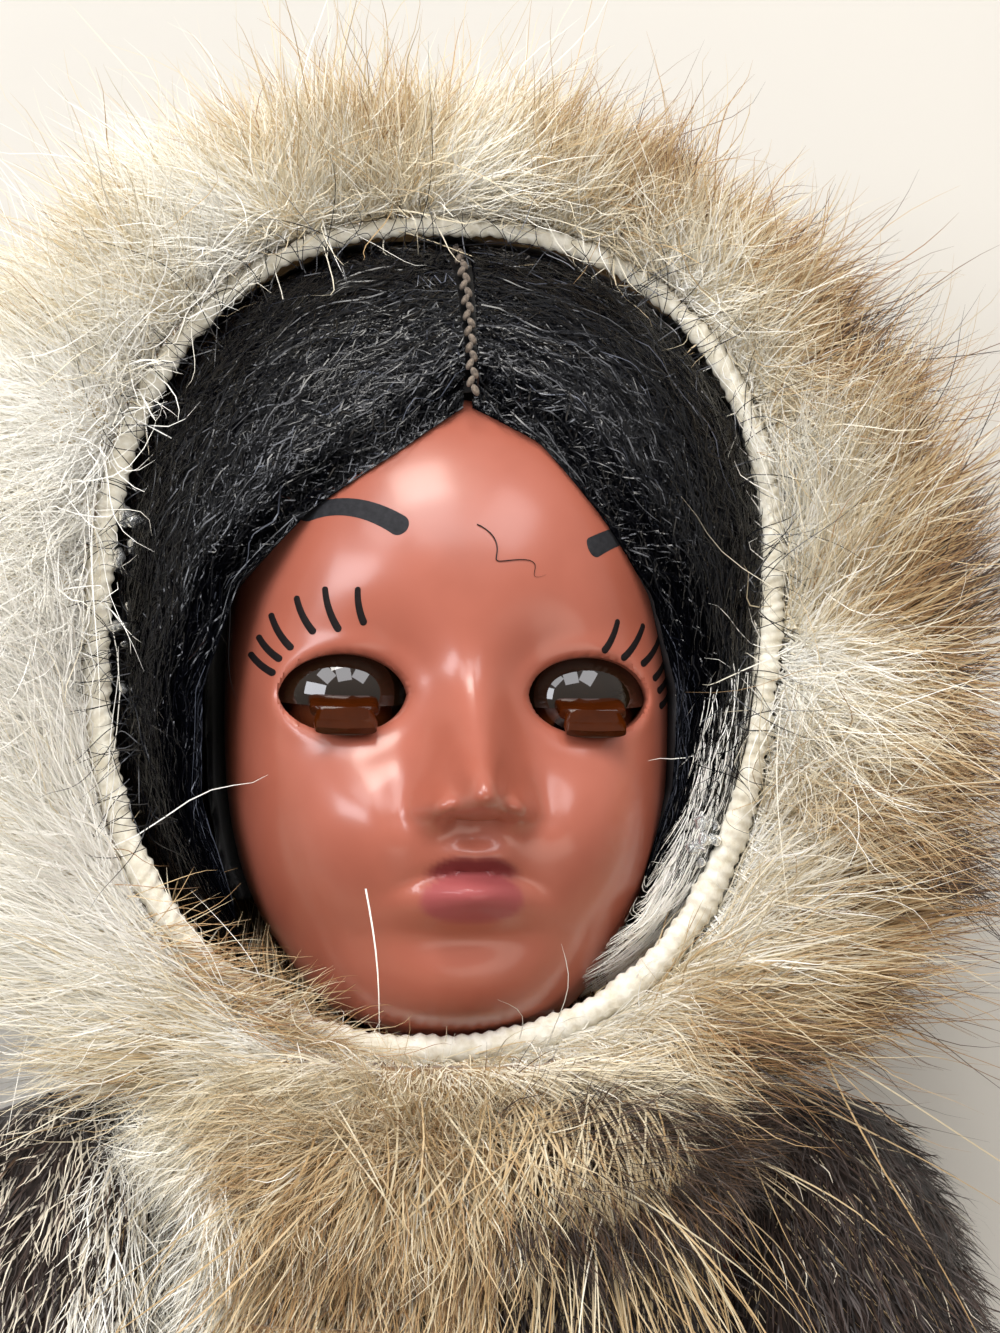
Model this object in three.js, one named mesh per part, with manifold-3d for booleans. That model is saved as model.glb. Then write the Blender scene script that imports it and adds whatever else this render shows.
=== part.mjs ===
// A dressed hard plastic doll with weighted sleep eyes, lying on its back. Sizes in millimetres.
// X runs across the doll towards its own left, Y from the soles to the crown, Z out of the face.

import * as THREE from "three";
import { mergeVertices } from "three/addons/utils/BufferGeometryUtils.js";
import Module from "manifold-3d";

const wasm = await Module();
wasm.setup();

// Fits
const CLEARANCE = 0.35; // between two pieces that touch
const SEAM_GAP = 0.3; // between the halves of a moulding or a coat
const TURN_GAP = 0.5; // between what turns with the head and what stays on the body

// Heights of the body, each a rise above the one before
const CROTCH_HEIGHT = 70;
const HIP_RISE = 12;
const WAIST_RISE = 16;
const CHEST_RISE = 16;
const SHOULDER_RISE = 13;
const NECK_RISE = 11;
const NECK_LENGTH = 4.5;

// Half widths and half depths of the body
const CROTCH_HALF_WIDTH = 15;
const HIP_HALF_WIDTH = 18.5;
const WAIST_HALF_WIDTH = 15.5;
const CHEST_HALF_WIDTH = 17;
const SHOULDER_HALF_WIDTH = 16.5;
const CROTCH_HALF_DEPTH = 11;
const HIP_HALF_DEPTH = 13.5;
const WAIST_HALF_DEPTH = 12;
const CHEST_HALF_DEPTH = 12.5;
const SHOULDER_HALF_DEPTH = 11;
const NECK_RADIUS = 5.2;
const NECK_FLARE = 0.8; // root of the neck wider than the neck
const SLOPE_FULLNESS = 1.2; // shoulder slope outside the straight line to the neck
const BODY_WALL = 1.8;
const BODY_SQUARENESS = 2.3;

// Legs and feet
const LEG_OFFSET = 9.8;
const THIGH_RADIUS = 8.2;
const KNEE_RADIUS = 6.5;
const CALF_RADIUS = 6.8;
const ANKLE_RADIUS = 5.2;
const ANKLE_RISE = 10; // above the middle of the foot
const CALF_RISE = 16;
const KNEE_RISE = 12;
const FOOT_HALF_WIDTH = 5.4;
const FOOT_HALF_HEIGHT = 5;
const TOE_LENGTH = 14;
const HEEL_LENGTH = 7;

// Arms
const UPPER_ARM = 24;
const FOREARM = 21;
const HAND_LENGTH = 13;
const ARM_OUTSET = 6.5; // middle of the arm outside the coat's side
const ARM_JOINT_RADIUS = 5.8;
const ARM_PEG_STEP = 0.6; // the peg into the body is slimmer than the shoulder
const ELBOW_RADIUS = 5;
const WRIST_RADIUS = 3.9;
const PALM_HALF_BREADTH = 4.8;
const PALM_HALF_THICKNESS = 2.9;
const FINGER_HALF_BREADTH = 3.2;
const FINGER_HALF_THICKNESS = 1.6;
const THUMB_RADIUS = 1.4;
const THUMB_LENGTH = 5.5;
const FINGER_SLIT = 0.5;
const FINGER_PITCH = 1.9;
const FINGER_ROOT = 0.6; // share of the hand's length where the fingers part
const ARM_SPREAD = THREE.MathUtils.degToRad(14);
const ELBOW_BEND = THREE.MathUtils.degToRad(12);

// Stringing
const ELASTIC_RADIUS = 1.1;
const KNOT_RADIUS = 2.4;
const PLUG_STEM_RADIUS = 3.6;
const PLUG_FLANGE_RADIUS = 7.5;
const PLUG_FLANGE = 1.2;
const HOOK_WIRE = 0.6;
const HOOK_TIP = 2.5; // how far the hook's open end rises past the elastic

// Head
const NECK_GAP = 0.5;
const NECK_ROOM = 1; // hair and hood round the neck
const HEAD_HALF_WIDTH = 15.7;
const CHIN_DROP = 22; // eye line down to the chin
const CROWN_RISE = 25; // eye line up to the crown
const FACE_DEPTH = 17;
const SKULL_DEPTH = 18.5;
const HEAD_WALL = 1.6;
const HEAD_SQUARENESS = 2.5;

// Sleep eyes
const EYE_SPACING = 16.5; // between the middles of the openings
const EYE_INSET = 0.45; // each eyeball nearer the nose than its opening
const EYE_RECESS = 0.4; // lid behind the face round it
const EYEBALL_RADIUS = 4.7;
const LID_THICKNESS = 0.4;
const LID_ANGLE = THREE.MathUtils.degToRad(9); // closed lid edge below the eye line
const EYE_OPENING_HALF_WIDTH = 4.25;
const EYE_OPENING_HALF_HEIGHT = 2.65;
const EYE_OPENING_FULLNESS = 0.85; // how blunt the ends of the almond are
const LASH_ROOT_HALF_WIDTH = 2.2;
const LASH_TIP_HALF_WIDTH = 1.9;
const LASH_THICKNESS = 0.8;
const LASH_STEP = { out: 2.1, drop: 1.35 }; // where the lash narrows, from its root
const LASH_TIP = { out: 3.1, drop: 2.5 };
const AXLE_RADIUS = 0.65;
const AXLE_REACH = 3.2; // past the middle of each eye
const WEIGHT_RADIUS = 2.6;
const WEIGHT_LENGTH = 5;
const WEIGHT_STEM_RADIUS = 0.7;
const WEIGHT_STEM_LENGTH = 8;
const WEIGHT_HUB_HALF_WIDTH = 0.9;
const HUB_WALL = 0.9;
const BRACKET_PLATE = 0.7;
const BRACKET_HALF_HEIGHT = 3;
const BRACKET_FOOT = 1.2;

// Wig
const WIG_FIT = 0.9; // loose cap on the head
const WIG_CAP = 0.6;
const WIG_CAP_DROP = 14; // lower edge of the cap below the eye line
const HAIR_SIDE = 8.5; // hair outside the head at each side
const HAIR_TOP = 8;
const HAIR_BACK = 3.5;
const HAIR_FRONT = 18; // hair before the middle of the head
const HAIR_FLARE = 6; // slope of the hair away from the sides of the face
const HAIRLINE_RISE = 19.5; // peak of the hairline above the eye line
const PART_THREAD_RADIUS = 0.45;
const PART_END = THREE.MathUtils.degToRad(112); // parting's far end, from the face over the crown

// Hood, with its hide edge and its ruff
const HOOD_CENTRE_RISE = 4.4; // above the eye line
const HOOD_THICKNESS = 2.8;
const HOOD_FRONT = 22;
const OPENING_DEPTH = 6; // hood's front rim before the middle of the head
const EDGE_RADIUS = 1.05;
const RUFF_BREADTH = 6.8;
const RUFF_TOP_BREADTH = 5; // shorter fur over the crown
const RUFF_DEPTH = 8.5;
const RUFF_SETBACK = 1; // middle of the ruff behind the hood's front rim
const FUR_SQUARENESS = 2.3;

// Coat
const FLOOR_PRESS = 2; // how far soft backs are pressed flat
const COLLAR_RISE = 2.3; // coat's neck above the root of the doll's neck
const COLLAR_HALF_WIDTH = 13.5;
const COLLAR_FRONT = 13;
const COLLAR_BACK = 19;
const COAT_HEM_HEIGHT = 62;
const COAT_SHOULDER_HALF_WIDTH = 19.5;
const COAT_WAIST_HALF_WIDTH = 20;
const COAT_HIP_HALF_WIDTH = 22;
const COAT_HEM_HALF_WIDTH = 26.5;
const COAT_FRONT = 20.5;
const COAT_HEM_FRONT = 21.5;
const COAT_YOKE_HALF_WIDTH = 18.5;
const COAT_YOKE_FRONT = 18.5;
const BAND_MIDDLE = -7;
const BAND_HALF_WIDTH = 8.5;
const BAND_THICKNESS = 3;
const BIB_HALF_WIDTH = 19.5;
const BIB_FRONT = 25.5;
const BIB_HALF_HEIGHT = 8;
const HEM_BAND_HEIGHT = 10;
const HEM_BAND_FLARE = 2;

// Sleeves, trousers and boots
const SLEEVE_FOREARM = 13; // sleeve past the elbow
const SLEEVE_PILE = 5.6;
const CUFF_LENGTH = 7;
const CUFF_PILE = 6;
const TROUSER_HALF_WIDTH = 10.4;
const TROUSER_HALF_DEPTH = 11;
const SOLE_THICKNESS = 1.3;
const SOLE_MARGIN = 0.8;
const BOOT_LEATHER = 1.5;
const BOOT_HEIGHT = 33;
const BOOT_CUFF_HEIGHT = 6.5;
const BOOT_CUFF_PILE = 4.6;
const CUFF_ROUNDING = 1.6;

// Facets
const RING_POINTS = 16;
const LIMB_POINTS = 10;
const TRUNK_POINTS = 12;
const BALL_COLUMNS = 12;
const BALL_ROWS = 8;
const FACE_COLUMNS = 36;
const FACE_ROWS = 18;
const SKULL_ROWS = 5;
const LINER_COLUMNS = 20;
const LINER_ROWS = 12;
const LOOP_STEPS = 28;

// Sizes that follow from those above
const HIP_HEIGHT = CROTCH_HEIGHT + HIP_RISE;
const WAIST_HEIGHT = HIP_HEIGHT + WAIST_RISE;
const CHEST_HEIGHT = WAIST_HEIGHT + CHEST_RISE;
const SHOULDER_HEIGHT = CHEST_HEIGHT + SHOULDER_RISE;
const NECK_BASE = SHOULDER_HEIGHT + NECK_RISE;
const NECK_TOP = NECK_BASE + NECK_LENGTH;
const EYE_LINE = NECK_TOP + NECK_GAP + CHIN_DROP;
const COAT_TOP = NECK_BASE + COLLAR_RISE;
const HOOD_BOTTOM = COAT_TOP + TURN_GAP;
const HOOD_CENTRE = EYE_LINE + HOOD_CENTRE_RISE;
const HAIR_HALF_WIDTH = HEAD_HALF_WIDTH + HAIR_SIDE;
const HAIR_UP = CROWN_RISE - HOOD_CENTRE_RISE + HAIR_TOP;
const HAIR_DOWN = HOOD_CENTRE - HOOD_BOTTOM - 2 * EDGE_RADIUS;
const HAIR_DEPTH = SKULL_DEPTH + HAIR_BACK;
const AXIS = HAIR_DEPTH + HOOD_THICKNESS; // the doll's own axis above the surface it lies on
const FOOT_MIDDLE = SOLE_THICKNESS + CLEARANCE + BOOT_LEATHER + CLEARANCE + FOOT_HALF_HEIGHT;
const ANKLE_HEIGHT = FOOT_MIDDLE + ANKLE_RISE;
const CALF_HEIGHT = ANKLE_HEIGHT + CALF_RISE;
const KNEE_HEIGHT = CALF_HEIGHT + KNEE_RISE;
const BOOT_CUFF_BOTTOM = BOOT_HEIGHT + CLEARANCE;
const TROUSER_BOTTOM = BOOT_CUFF_BOTTOM + BOOT_CUFF_HEIGHT + CLEARANCE;
const TROUSER_OFFSET = TROUSER_HALF_WIDTH + CLEARANCE / 2;
const LID_RADIUS = EYEBALL_RADIUS + CLEARANCE + LID_THICKNESS;
const AXLE_BORE = AXLE_RADIUS + CLEARANCE;
const EYE_X = EYE_SPACING / 2;
const EYEBALL_X = EYE_X - EYE_INSET;
const ARM_X = COAT_SHOULDER_HALF_WIDTH + ARM_OUTSET;
const SLEEVE_INNER = COAT_SHOULDER_HALF_WIDTH + CLEARANCE;
const BIB_MIDDLE = COAT_TOP - BIB_HALF_HEIGHT * 0.75;
const BACK_REST_HEIGHT = (WAIST_HEIGHT + CHEST_HEIGHT) / 2;
const FAR = 400; // reaches past every piece

// Solids

/** Turns a closed geometry into a solid whose faces point out. */
function solid(geometry) {
  const bare = new THREE.BufferGeometry();
  bare.setAttribute("position", geometry.getAttribute("position").clone());
  if (geometry.index) {
    bare.setIndex(geometry.index.clone());
  }
  const merged = mergeVertices(bare, 1e-4);
  const vertProperties = new Float32Array(merged.getAttribute("position").array);
  const kept = [];
  const index = merged.index.array;
  for (let i = 0; i < index.length; i += 3) {
    const [a, b, c] = [index[i], index[i + 1], index[i + 2]];
    if (a !== b && b !== c && c !== a) {
      kept.push(a, b, c);
    }
  }
  const make = (triangles) =>
    new wasm.Manifold(
      new wasm.Mesh({ numProp: 3, vertProperties, triVerts: new Uint32Array(triangles) }),
    );
  const first = make(kept);
  if (first.volume() > 0) {
    return first;
  }
  return make(kept.reverse());
}

/** Joins rings of points into a closed skin, with a fan at each end or the last ring met by the first. */
function skin(rings, { loop = false, tips = [] } = {}) {
  const count = rings[0].length;
  const points = rings.flat();
  const index = [];
  const spans = loop ? rings.length : rings.length - 1;
  for (let r = 0; r < spans; r += 1) {
    const low = r * count;
    const high = ((r + 1) % rings.length) * count;
    for (let i = 0; i < count; i += 1) {
      const j = (i + 1) % count;
      index.push(low + i, low + j, high + i, low + j, high + j, high + i);
    }
  }
  if (!loop) {
    [0, rings.length - 1].forEach((r, end) => {
      const middle = new THREE.Vector3();
      rings[r].forEach((point) => middle.addScaledVector(point, 1 / count));
      points.push(tips[end] ?? middle);
      for (let i = 0; i < count; i += 1) {
        const [a, b] = [r * count + i, r * count + ((i + 1) % count)];
        index.push(...(end === 0 ? [b, a] : [a, b]), points.length - 1);
      }
    });
  }
  const geometry = new THREE.BufferGeometry().setFromPoints(points);
  geometry.setIndex(index);
  return geometry;
}

/** A box solid between limits; a side that isn't given lies out of reach. */
function slab({ x = [-FAR, FAR], y = [-FAR, FAR], z = [-FAR, FAR] }) {
  const box = new THREE.BoxGeometry(x[1] - x[0], y[1] - y[0], z[1] - z[0]);
  box.translate((x[0] + x[1]) / 2, (y[0] + y[1]) / 2, (z[0] + z[1]) / 2);
  return solid(box);
}

/** A round bar along X, Y or Z, from one place on that axis to another. */
function bar(axis, radius, from, to, { x = 0, y = 0, z = 0 } = {}, sides = 16) {
  const cylinder = new THREE.CylinderGeometry(radius, radius, to - from, sides);
  cylinder.translate(0, (from + to) / 2, 0);
  if (axis === "x") {
    cylinder.rotateZ(-Math.PI / 2);
  } else if (axis === "z") {
    cylinder.rotateX(Math.PI / 2);
  }
  cylinder.translate(x, y, z);
  return solid(cylinder);
}

/** A ball at a place. */
function ball(radius, { x, y, z }, columns = BALL_COLUMNS, rows = BALL_ROWS) {
  const sphere = new THREE.SphereGeometry(radius, columns, rows);
  return solid(sphere.rotateZ(Math.PI / 2).translate(x, y, z));
}

/** How far out along a direction the rounded box with these reaches lies. */
function reachAlong(direction, { halfWidth, up, down, front, back, squareness }) {
  const across = Math.abs(direction.x) / halfWidth;
  const along = Math.abs(direction.y) / (direction.y > 0 ? up : down);
  const out = Math.abs(direction.z) / (direction.z > 0 ? front : back);
  return (across ** squareness + along ** squareness + out ** squareness) ** (-1 / squareness);
}

/** A closed egg with its own reach each way, poles front and back, and an optional relief on its front. */
function egg(form, { y, relief = null, columns = LINER_COLUMNS, rows = [LINER_ROWS / 2, LINER_ROWS / 2] }) {
  const place = (polar, azimuth) => {
    const point = new THREE.Vector3(
      Math.sin(polar) * Math.cos(azimuth),
      Math.sin(polar) * Math.sin(azimuth),
      Math.cos(polar),
    );
    point.multiplyScalar(reachAlong(point, form));
    if (relief) {
      point.z += relief(point);
    }
    return point.add(new THREE.Vector3(0, y, AXIS));
  };
  const quarter = Math.PI / 2;
  const polars = [];
  for (let i = 1; i <= rows[0]; i += 1) {
    polars.push((quarter * i) / rows[0]);
  }
  for (let i = 1; i < rows[1]; i += 1) {
    polars.push(quarter + (quarter * i) / rows[1]);
  }
  const rings = polars.map((polar) =>
    Array.from({ length: columns }, (_, i) => place(polar, (2 * Math.PI * i) / columns)),
  );
  return solid(skin(rings, { tips: [place(0, 0), place(Math.PI, 0)] }));
}

/** The same reaches, each larger by one amount. */
function grown(form, by) {
  const larger = { ...form };
  ["halfWidth", "up", "down", "front", "back"].forEach((side) => {
    larger[side] += by;
  });
  return larger;
}

/** A loft up Y through stations with their own widths and depths, larger all round by one amount. */
function loft(stations, { grow = 0, squareness = BODY_SQUARENESS, points = RING_POINTS } = {}) {
  const rings = stations.map(({ y, x = 0, halfWidth, front, back = front }) =>
    Array.from({ length: points }, (_, i) => {
      const turn = (2 * Math.PI * (i + 0.5)) / points;
      const [c, s] = [Math.cos(turn), Math.sin(turn)];
      const depth = (s > 0 ? front : back) + grow;
      const width = halfWidth + grow;
      const reach =
        ((Math.abs(c) / width) ** squareness + (Math.abs(s) / depth) ** squareness) **
        (-1 / squareness);
      return new THREE.Vector3(x + c * reach, y, AXIS + s * reach);
    }),
  );
  return solid(skin(rings));
}

/** A limb through stations on a path, each with a half thickness along X and a half breadth. */
function limb(stations, { grow = 0, points = LIMB_POINTS } = {}) {
  const rings = stations.map(({ at, half, breadth = half }, i) => {
    const before = stations[Math.max(i - 1, 0)].at;
    const after = stations[Math.min(i + 1, stations.length - 1)].at;
    const tangent = new THREE.Vector3().subVectors(after, before).normalize();
    const side = new THREE.Vector3(1, 0, 0).addScaledVector(tangent, -tangent.x).normalize();
    const fore = new THREE.Vector3().crossVectors(tangent, side);
    return Array.from({ length: points }, (_, k) => {
      const turn = (2 * Math.PI * k) / points;
      return at
        .clone()
        .addScaledVector(side, Math.cos(turn) * (half + grow))
        .addScaledVector(fore, Math.sin(turn) * (breadth + grow));
    });
  });
  return solid(skin(rings));
}

/** An outline drawn in X and Y, cut through from one depth to another. */
function prism(shape, from, to, { x = 0, y = 0 } = {}, curveSegments = 8) {
  const geometry = new THREE.ExtrudeGeometry(shape, { depth: to - from, bevelEnabled: false, curveSegments });
  return solid(geometry.translate(x, y, from));
}

/** A closed fur or hide ring on a loop round the face, with half breadths at the sides and over the crown. */
function faceRing({ halfWidth, up, down, inset, breadth, topBreadth = breadth, depth, z, sides }) {
  const rings = Array.from({ length: LOOP_STEPS }, (_, i) => {
    const round = (2 * Math.PI * i) / LOOP_STEPS;
    const way = new THREE.Vector3(Math.cos(round), Math.sin(round), 0);
    const half = THREE.MathUtils.lerp(breadth, topBreadth, Math.max(way.y, 0));
    const loop = reachAlong(way, { halfWidth, up, down, front: 1, back: 1, squareness: FUR_SQUARENESS });
    const reach = loop - inset + half;
    return Array.from({ length: sides }, (__, k) => {
      const turn = (2 * Math.PI * k) / sides;
      const point = way.clone().multiplyScalar(reach + half * Math.cos(turn));
      return point.add(new THREE.Vector3(0, HOOD_CENTRE, z + depth * Math.sin(turn)));
    });
  });
  return solid(skin(rings, { loop: true }));
}

// Face, as bumps and hollows on the front of the head, placed from the middle of the eye line

/** A smooth step from 0 at one value to 1 at another. */
function ease(from, to, value) {
  const t = THREE.MathUtils.clamp((value - from) / (to - from), 0, 1);
  return t * t * (3 - 2 * t);
}

// Broad forms, which the inside of the shell follows too
const BROAD_FORMS = [
  { name: "forehead", x: 0, y: 12, wide: 9, tall: 7, rise: 0.8 },
  { name: "hollow by the bridge", x: 4.9, y: 0.2, wide: 2.2, tall: 3.2, rise: -1.9 },
  { name: "eye socket", x: EYE_X, y: 0, wide: 3.6, tall: 3.4, rise: -0.9 },
  { name: "outer rim of the eye", x: 13, y: -0.5, wide: 1.6, tall: 3, rise: 0.9 },
  { name: "muzzle", x: 0, y: -12, wide: 6, tall: 4.5, rise: 1.4 },
];
const FINE_FORMS = [
  { name: "cheek", x: EYE_X, y: -8.5, wide: 4.6, tall: 4.6, rise: 1.3 },
  { name: "nose wing", x: 2.5, y: -7.2, wide: 0.95, tall: 1, rise: 2 },
  { name: "crease beside the nose", x: 4.5, y: -7.2, wide: 0.9, tall: 1.5, rise: -0.5 },
  { name: "philtrum", x: 0, y: -9.4, wide: 0.7, tall: 0.9, rise: -0.35 },
  { name: "upper lip", x: 1.2, y: -11.1, wide: 1.3, tall: 0.7, rise: 0.9 },
  { name: "lower lip", x: 0, y: -13.7, wide: 2.2, tall: 1, rise: 1.9 },
  { name: "lip line", x: 0, y: -12.3, wide: 2.6, tall: 0.35, rise: -1 },
  { name: "mouth corner", x: 3.7, y: -12.4, wide: 1, tall: 0.9, rise: -0.5 },
  { name: "chin crease", x: 0, y: -16, wide: 3, tall: 0.9, rise: -0.6 },
  { name: "chin", x: 0, y: -19.5, wide: 4.4, tall: 2.4, rise: 1.8 },
];
const NOSE_RISE = 4.9;
const NOSE_TOP = 4.6;
const NOSE_TIP = -6.3;
const NOSE_BASE = -8.1;
const NOSE_SWEEP = 1.3; // above 1, the bridge is hollow in profile
const BRIDGE_WIDTH = 1.4;
const NOSE_WIDTH = 1.8;
const RELIEF_FADE = 6; // the relief dies out this close to the silhouette

/** The rise of a list of forms at a point, each one paired left and right unless it is in the middle. */
function formsRise(forms, { x, y }) {
  return forms.reduce((sum, form) => {
    const down = (y - form.y) / form.tall;
    const sides = form.x === 0 ? [0] : [form.x, -form.x];
    return sides.reduce((part, middle) => {
      const across = (x - middle) / form.wide;
      return part + form.rise * Math.exp(-(across * across + down * down) / 2);
    }, sum);
  }, 0);
}

/** The rise of the nose at a point. */
function noseRise({ x, y }) {
  const slope = ease(NOSE_TOP, NOSE_TIP, y);
  const under = THREE.MathUtils.clamp((NOSE_TIP - y) / (NOSE_TIP - NOSE_BASE), 0, 1);
  const along = y > NOSE_TIP ? slope ** NOSE_SWEEP : Math.sqrt(1 - under * under);
  const width = THREE.MathUtils.lerp(BRIDGE_WIDTH, NOSE_WIDTH, slope);
  return NOSE_RISE * along * Math.exp(-((x / width) ** 2) / 2);
}

const broadRelief = (point) => ease(0, RELIEF_FADE, point.z) * formsRise(BROAD_FORMS, point);
const faceRelief = (point) =>
  ease(0, RELIEF_FADE, point.z) *
  (formsRise(BROAD_FORMS, point) + formsRise(FINE_FORMS, point) + noseRise(point));

const HEAD_FORM = {
  halfWidth: HEAD_HALF_WIDTH,
  up: CROWN_RISE,
  down: CHIN_DROP,
  front: FACE_DEPTH,
  back: SKULL_DEPTH,
  squareness: HEAD_SQUARENESS,
};

/** The depth of the head's front, before its relief, at a place across and along. */
function frontDepth(form, x, y) {
  const n = form.squareness;
  const flat = (Math.abs(x) / form.halfWidth) ** n + (Math.abs(y) / (y > 0 ? form.up : form.down)) ** n;
  return form.front * Math.max(1 - flat, 0) ** (1 / n);
}

const LINER_FORM = grown(HEAD_FORM, -HEAD_WALL);
const EYE_FACE = frontDepth(HEAD_FORM, EYE_X, 0) + formsRise(BROAD_FORMS, { x: EYE_X, y: 0 });
const EYE_DEPTH = AXIS + EYE_FACE - EYE_RECESS - LID_RADIUS;

/** The head in the round, larger by one amount, for what lies on it. */
function headEgg(grow) {
  return egg(grown(HEAD_FORM, grow), { y: EYE_LINE, relief: broadRelief });
}

/** The almond outline of an eye opening, about its own middle. */
function eyeOutline() {
  const w = EYE_OPENING_HALF_WIDTH;
  const handle = { x: w * EYE_OPENING_FULLNESS, y: (EYE_OPENING_HALF_HEIGHT * 4) / 3 };
  const shape = new THREE.Shape();
  shape.moveTo(-w, 0);
  shape.bezierCurveTo(-handle.x, -handle.y, handle.x, -handle.y, w, 0);
  shape.bezierCurveTo(handle.x, handle.y, -handle.x, handle.y, -w, 0);
  return shape;
}

/** The hairline and the sides of the face, open below the chin, as a ring of points at one depth. */
function faceOutline(half, rise, z) {
  const foot = -(CHIN_DROP + HAIR_TOP);
  const shape = new THREE.Shape();
  shape.moveTo(0, rise);
  shape.bezierCurveTo(-half * 0.38, rise * 0.85, -half * 0.95, rise * 0.41, -half, 0);
  shape.bezierCurveTo(-half, -CHIN_DROP * 0.4, -half * 0.75, -CHIN_DROP * 0.9, -half * 0.6, foot);
  shape.lineTo(half * 0.6, foot);
  shape.bezierCurveTo(half * 0.75, -CHIN_DROP * 0.9, half, -CHIN_DROP * 0.4, half, 0);
  shape.bezierCurveTo(half * 0.95, rise * 0.41, half * 0.38, rise * 0.85, 0, rise);
  const points = shape.getPoints(6).slice(1);
  return points.map(({ x, y }) => new THREE.Vector3(x, EYE_LINE + y, z));
}

/** The space before the face that the hair leaves, wider towards the front. */
function faceWindow(margin) {
  const half = HEAD_HALF_WIDTH + margin;
  const rise = HAIRLINE_RISE + margin;
  const rings = [
    faceOutline(half, rise, AXIS - HAIR_BACK),
    faceOutline(half + HAIR_FLARE, rise, AXIS + FACE_DEPTH),
    faceOutline(half + HAIR_FLARE, rise, AXIS + 2 * FACE_DEPTH),
  ];
  return solid(skin(rings));
}

// Head pieces

const neckBore = (grow) => bar("y", PLUG_STEM_RADIUS + grow, NECK_BASE - NECK_RISE, EYE_LINE, { z: AXIS });

/** The hollow head, before it is parted into face and back. */
function hollowHead() {
  const outer = egg(HEAD_FORM, {
    y: EYE_LINE,
    relief: faceRelief,
    columns: FACE_COLUMNS,
    rows: [FACE_ROWS, SKULL_ROWS],
  });
  const inner = egg(LINER_FORM, { y: EYE_LINE, relief: broadRelief });
  return outer.subtract(inner).subtract(neckBore(CLEARANCE));
}

/** The front half with its two eye openings and the cups that the lids turn in. */
function faceShell(head) {
  return [-1, 1].reduce((shell, side) => {
    const middle = { x: side * EYEBALL_X, y: EYE_LINE, z: EYE_DEPTH };
    return shell
      .subtract(ball(LID_RADIUS + CLEARANCE, middle))
      .subtract(prism(eyeOutline(), EYE_DEPTH, AXIS + FAR, { x: side * EYE_X, y: EYE_LINE }));
  }, head.intersect(slab({ z: [AXIS + SEAM_GAP / 2, FAR] })));
}

/** The thin cap under the wig, clear of the face. */
function wigCap() {
  return headEgg(WIG_FIT + WIG_CAP)
    .subtract(headEgg(WIG_FIT))
    .subtract(faceWindow(1))
    .intersect(slab({ y: [EYE_LINE - WIG_CAP_DROP, FAR] }));
}

const HAIR_FORM = {
  halfWidth: HAIR_HALF_WIDTH,
  up: HAIR_UP,
  down: HAIR_DOWN,
  front: HAIR_FRONT,
  back: HAIR_DEPTH,
  squareness: FUR_SQUARENESS,
};
const HOOD_INSIDE = { ...grown(HAIR_FORM, CLEARANCE), down: HOOD_CENTRE - HOOD_BOTTOM };
const HOOD_FORM = {
  ...grown(HAIR_FORM, HOOD_THICKNESS),
  down: HOOD_CENTRE - HOOD_BOTTOM + HOOD_THICKNESS,
  front: HOOD_FRONT,
  back: HAIR_DEPTH + HOOD_THICKNESS + FLOOR_PRESS,
};
const neckClear = () => bar("y", NECK_RADIUS + NECK_ROOM, NECK_BASE, EYE_LINE - CHIN_DROP / 2, { z: AXIS });
const GROOVE = PART_THREAD_RADIUS + CLEARANCE;

/** The hair combed to one side of the parting, from the hairline to the nape. */
function hairSide(side) {
  const reach = side > 0 ? [GROOVE, FAR] : [-FAR, -GROOVE];
  return egg(HAIR_FORM, { y: HOOD_CENTRE })
    .subtract(headEgg(WIG_FIT + WIG_CAP + CLEARANCE))
    .subtract(faceWindow(0))
    .subtract(neckClear())
    .intersect(slab({ x: reach, y: [HOOD_BOTTOM, FAR], z: [0, FAR] }));
}

/** The stitched thread of the parting, from the hairline over the crown. */
function partThread() {
  const form = grown(HAIR_FORM, -2 * PART_THREAD_RADIUS);
  const peak = HAIRLINE_RISE - HOOD_CENTRE_RISE + 2 * PART_THREAD_RADIUS;
  const start = Math.atan2(peak, frontDepth(form, 0, peak));
  const place = (angle) => {
    const direction = new THREE.Vector3(0, Math.sin(angle), Math.cos(angle));
    direction.multiplyScalar(reachAlong(direction, form));
    return direction.add(new THREE.Vector3(0, HOOD_CENTRE, AXIS));
  };
  const steps = 12;
  const stations = Array.from({ length: steps + 1 }, (_, i) => ({
    at: place(THREE.MathUtils.lerp(start, PART_END, i / steps)),
    half: PART_THREAD_RADIUS,
  }));
  return limb(stations, { points: 6 });
}

/** The pelt of the hood, open at the face and the neck and pressed flat behind. */
function hoodShell() {
  return egg(HOOD_FORM, { y: HOOD_CENTRE })
    .subtract(egg(HOOD_INSIDE, { y: HOOD_CENTRE }))
    .subtract(neckClear())
    .intersect(slab({ y: [HOOD_BOTTOM, FAR], z: [0, AXIS + OPENING_DEPTH] }));
}

/** The rolled hide edge that rims the hood's opening. */
function hoodEdge() {
  return faceRing({
    halfWidth: HAIR_HALF_WIDTH + CLEARANCE,
    up: HAIR_UP + CLEARANCE,
    down: HOOD_CENTRE - HOOD_BOTTOM - EDGE_RADIUS - CLEARANCE,
    inset: EDGE_RADIUS,
    breadth: EDGE_RADIUS,
    depth: EDGE_RADIUS,
    z: AXIS + OPENING_DEPTH + CLEARANCE + EDGE_RADIUS,
    sides: 6,
  });
}

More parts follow.
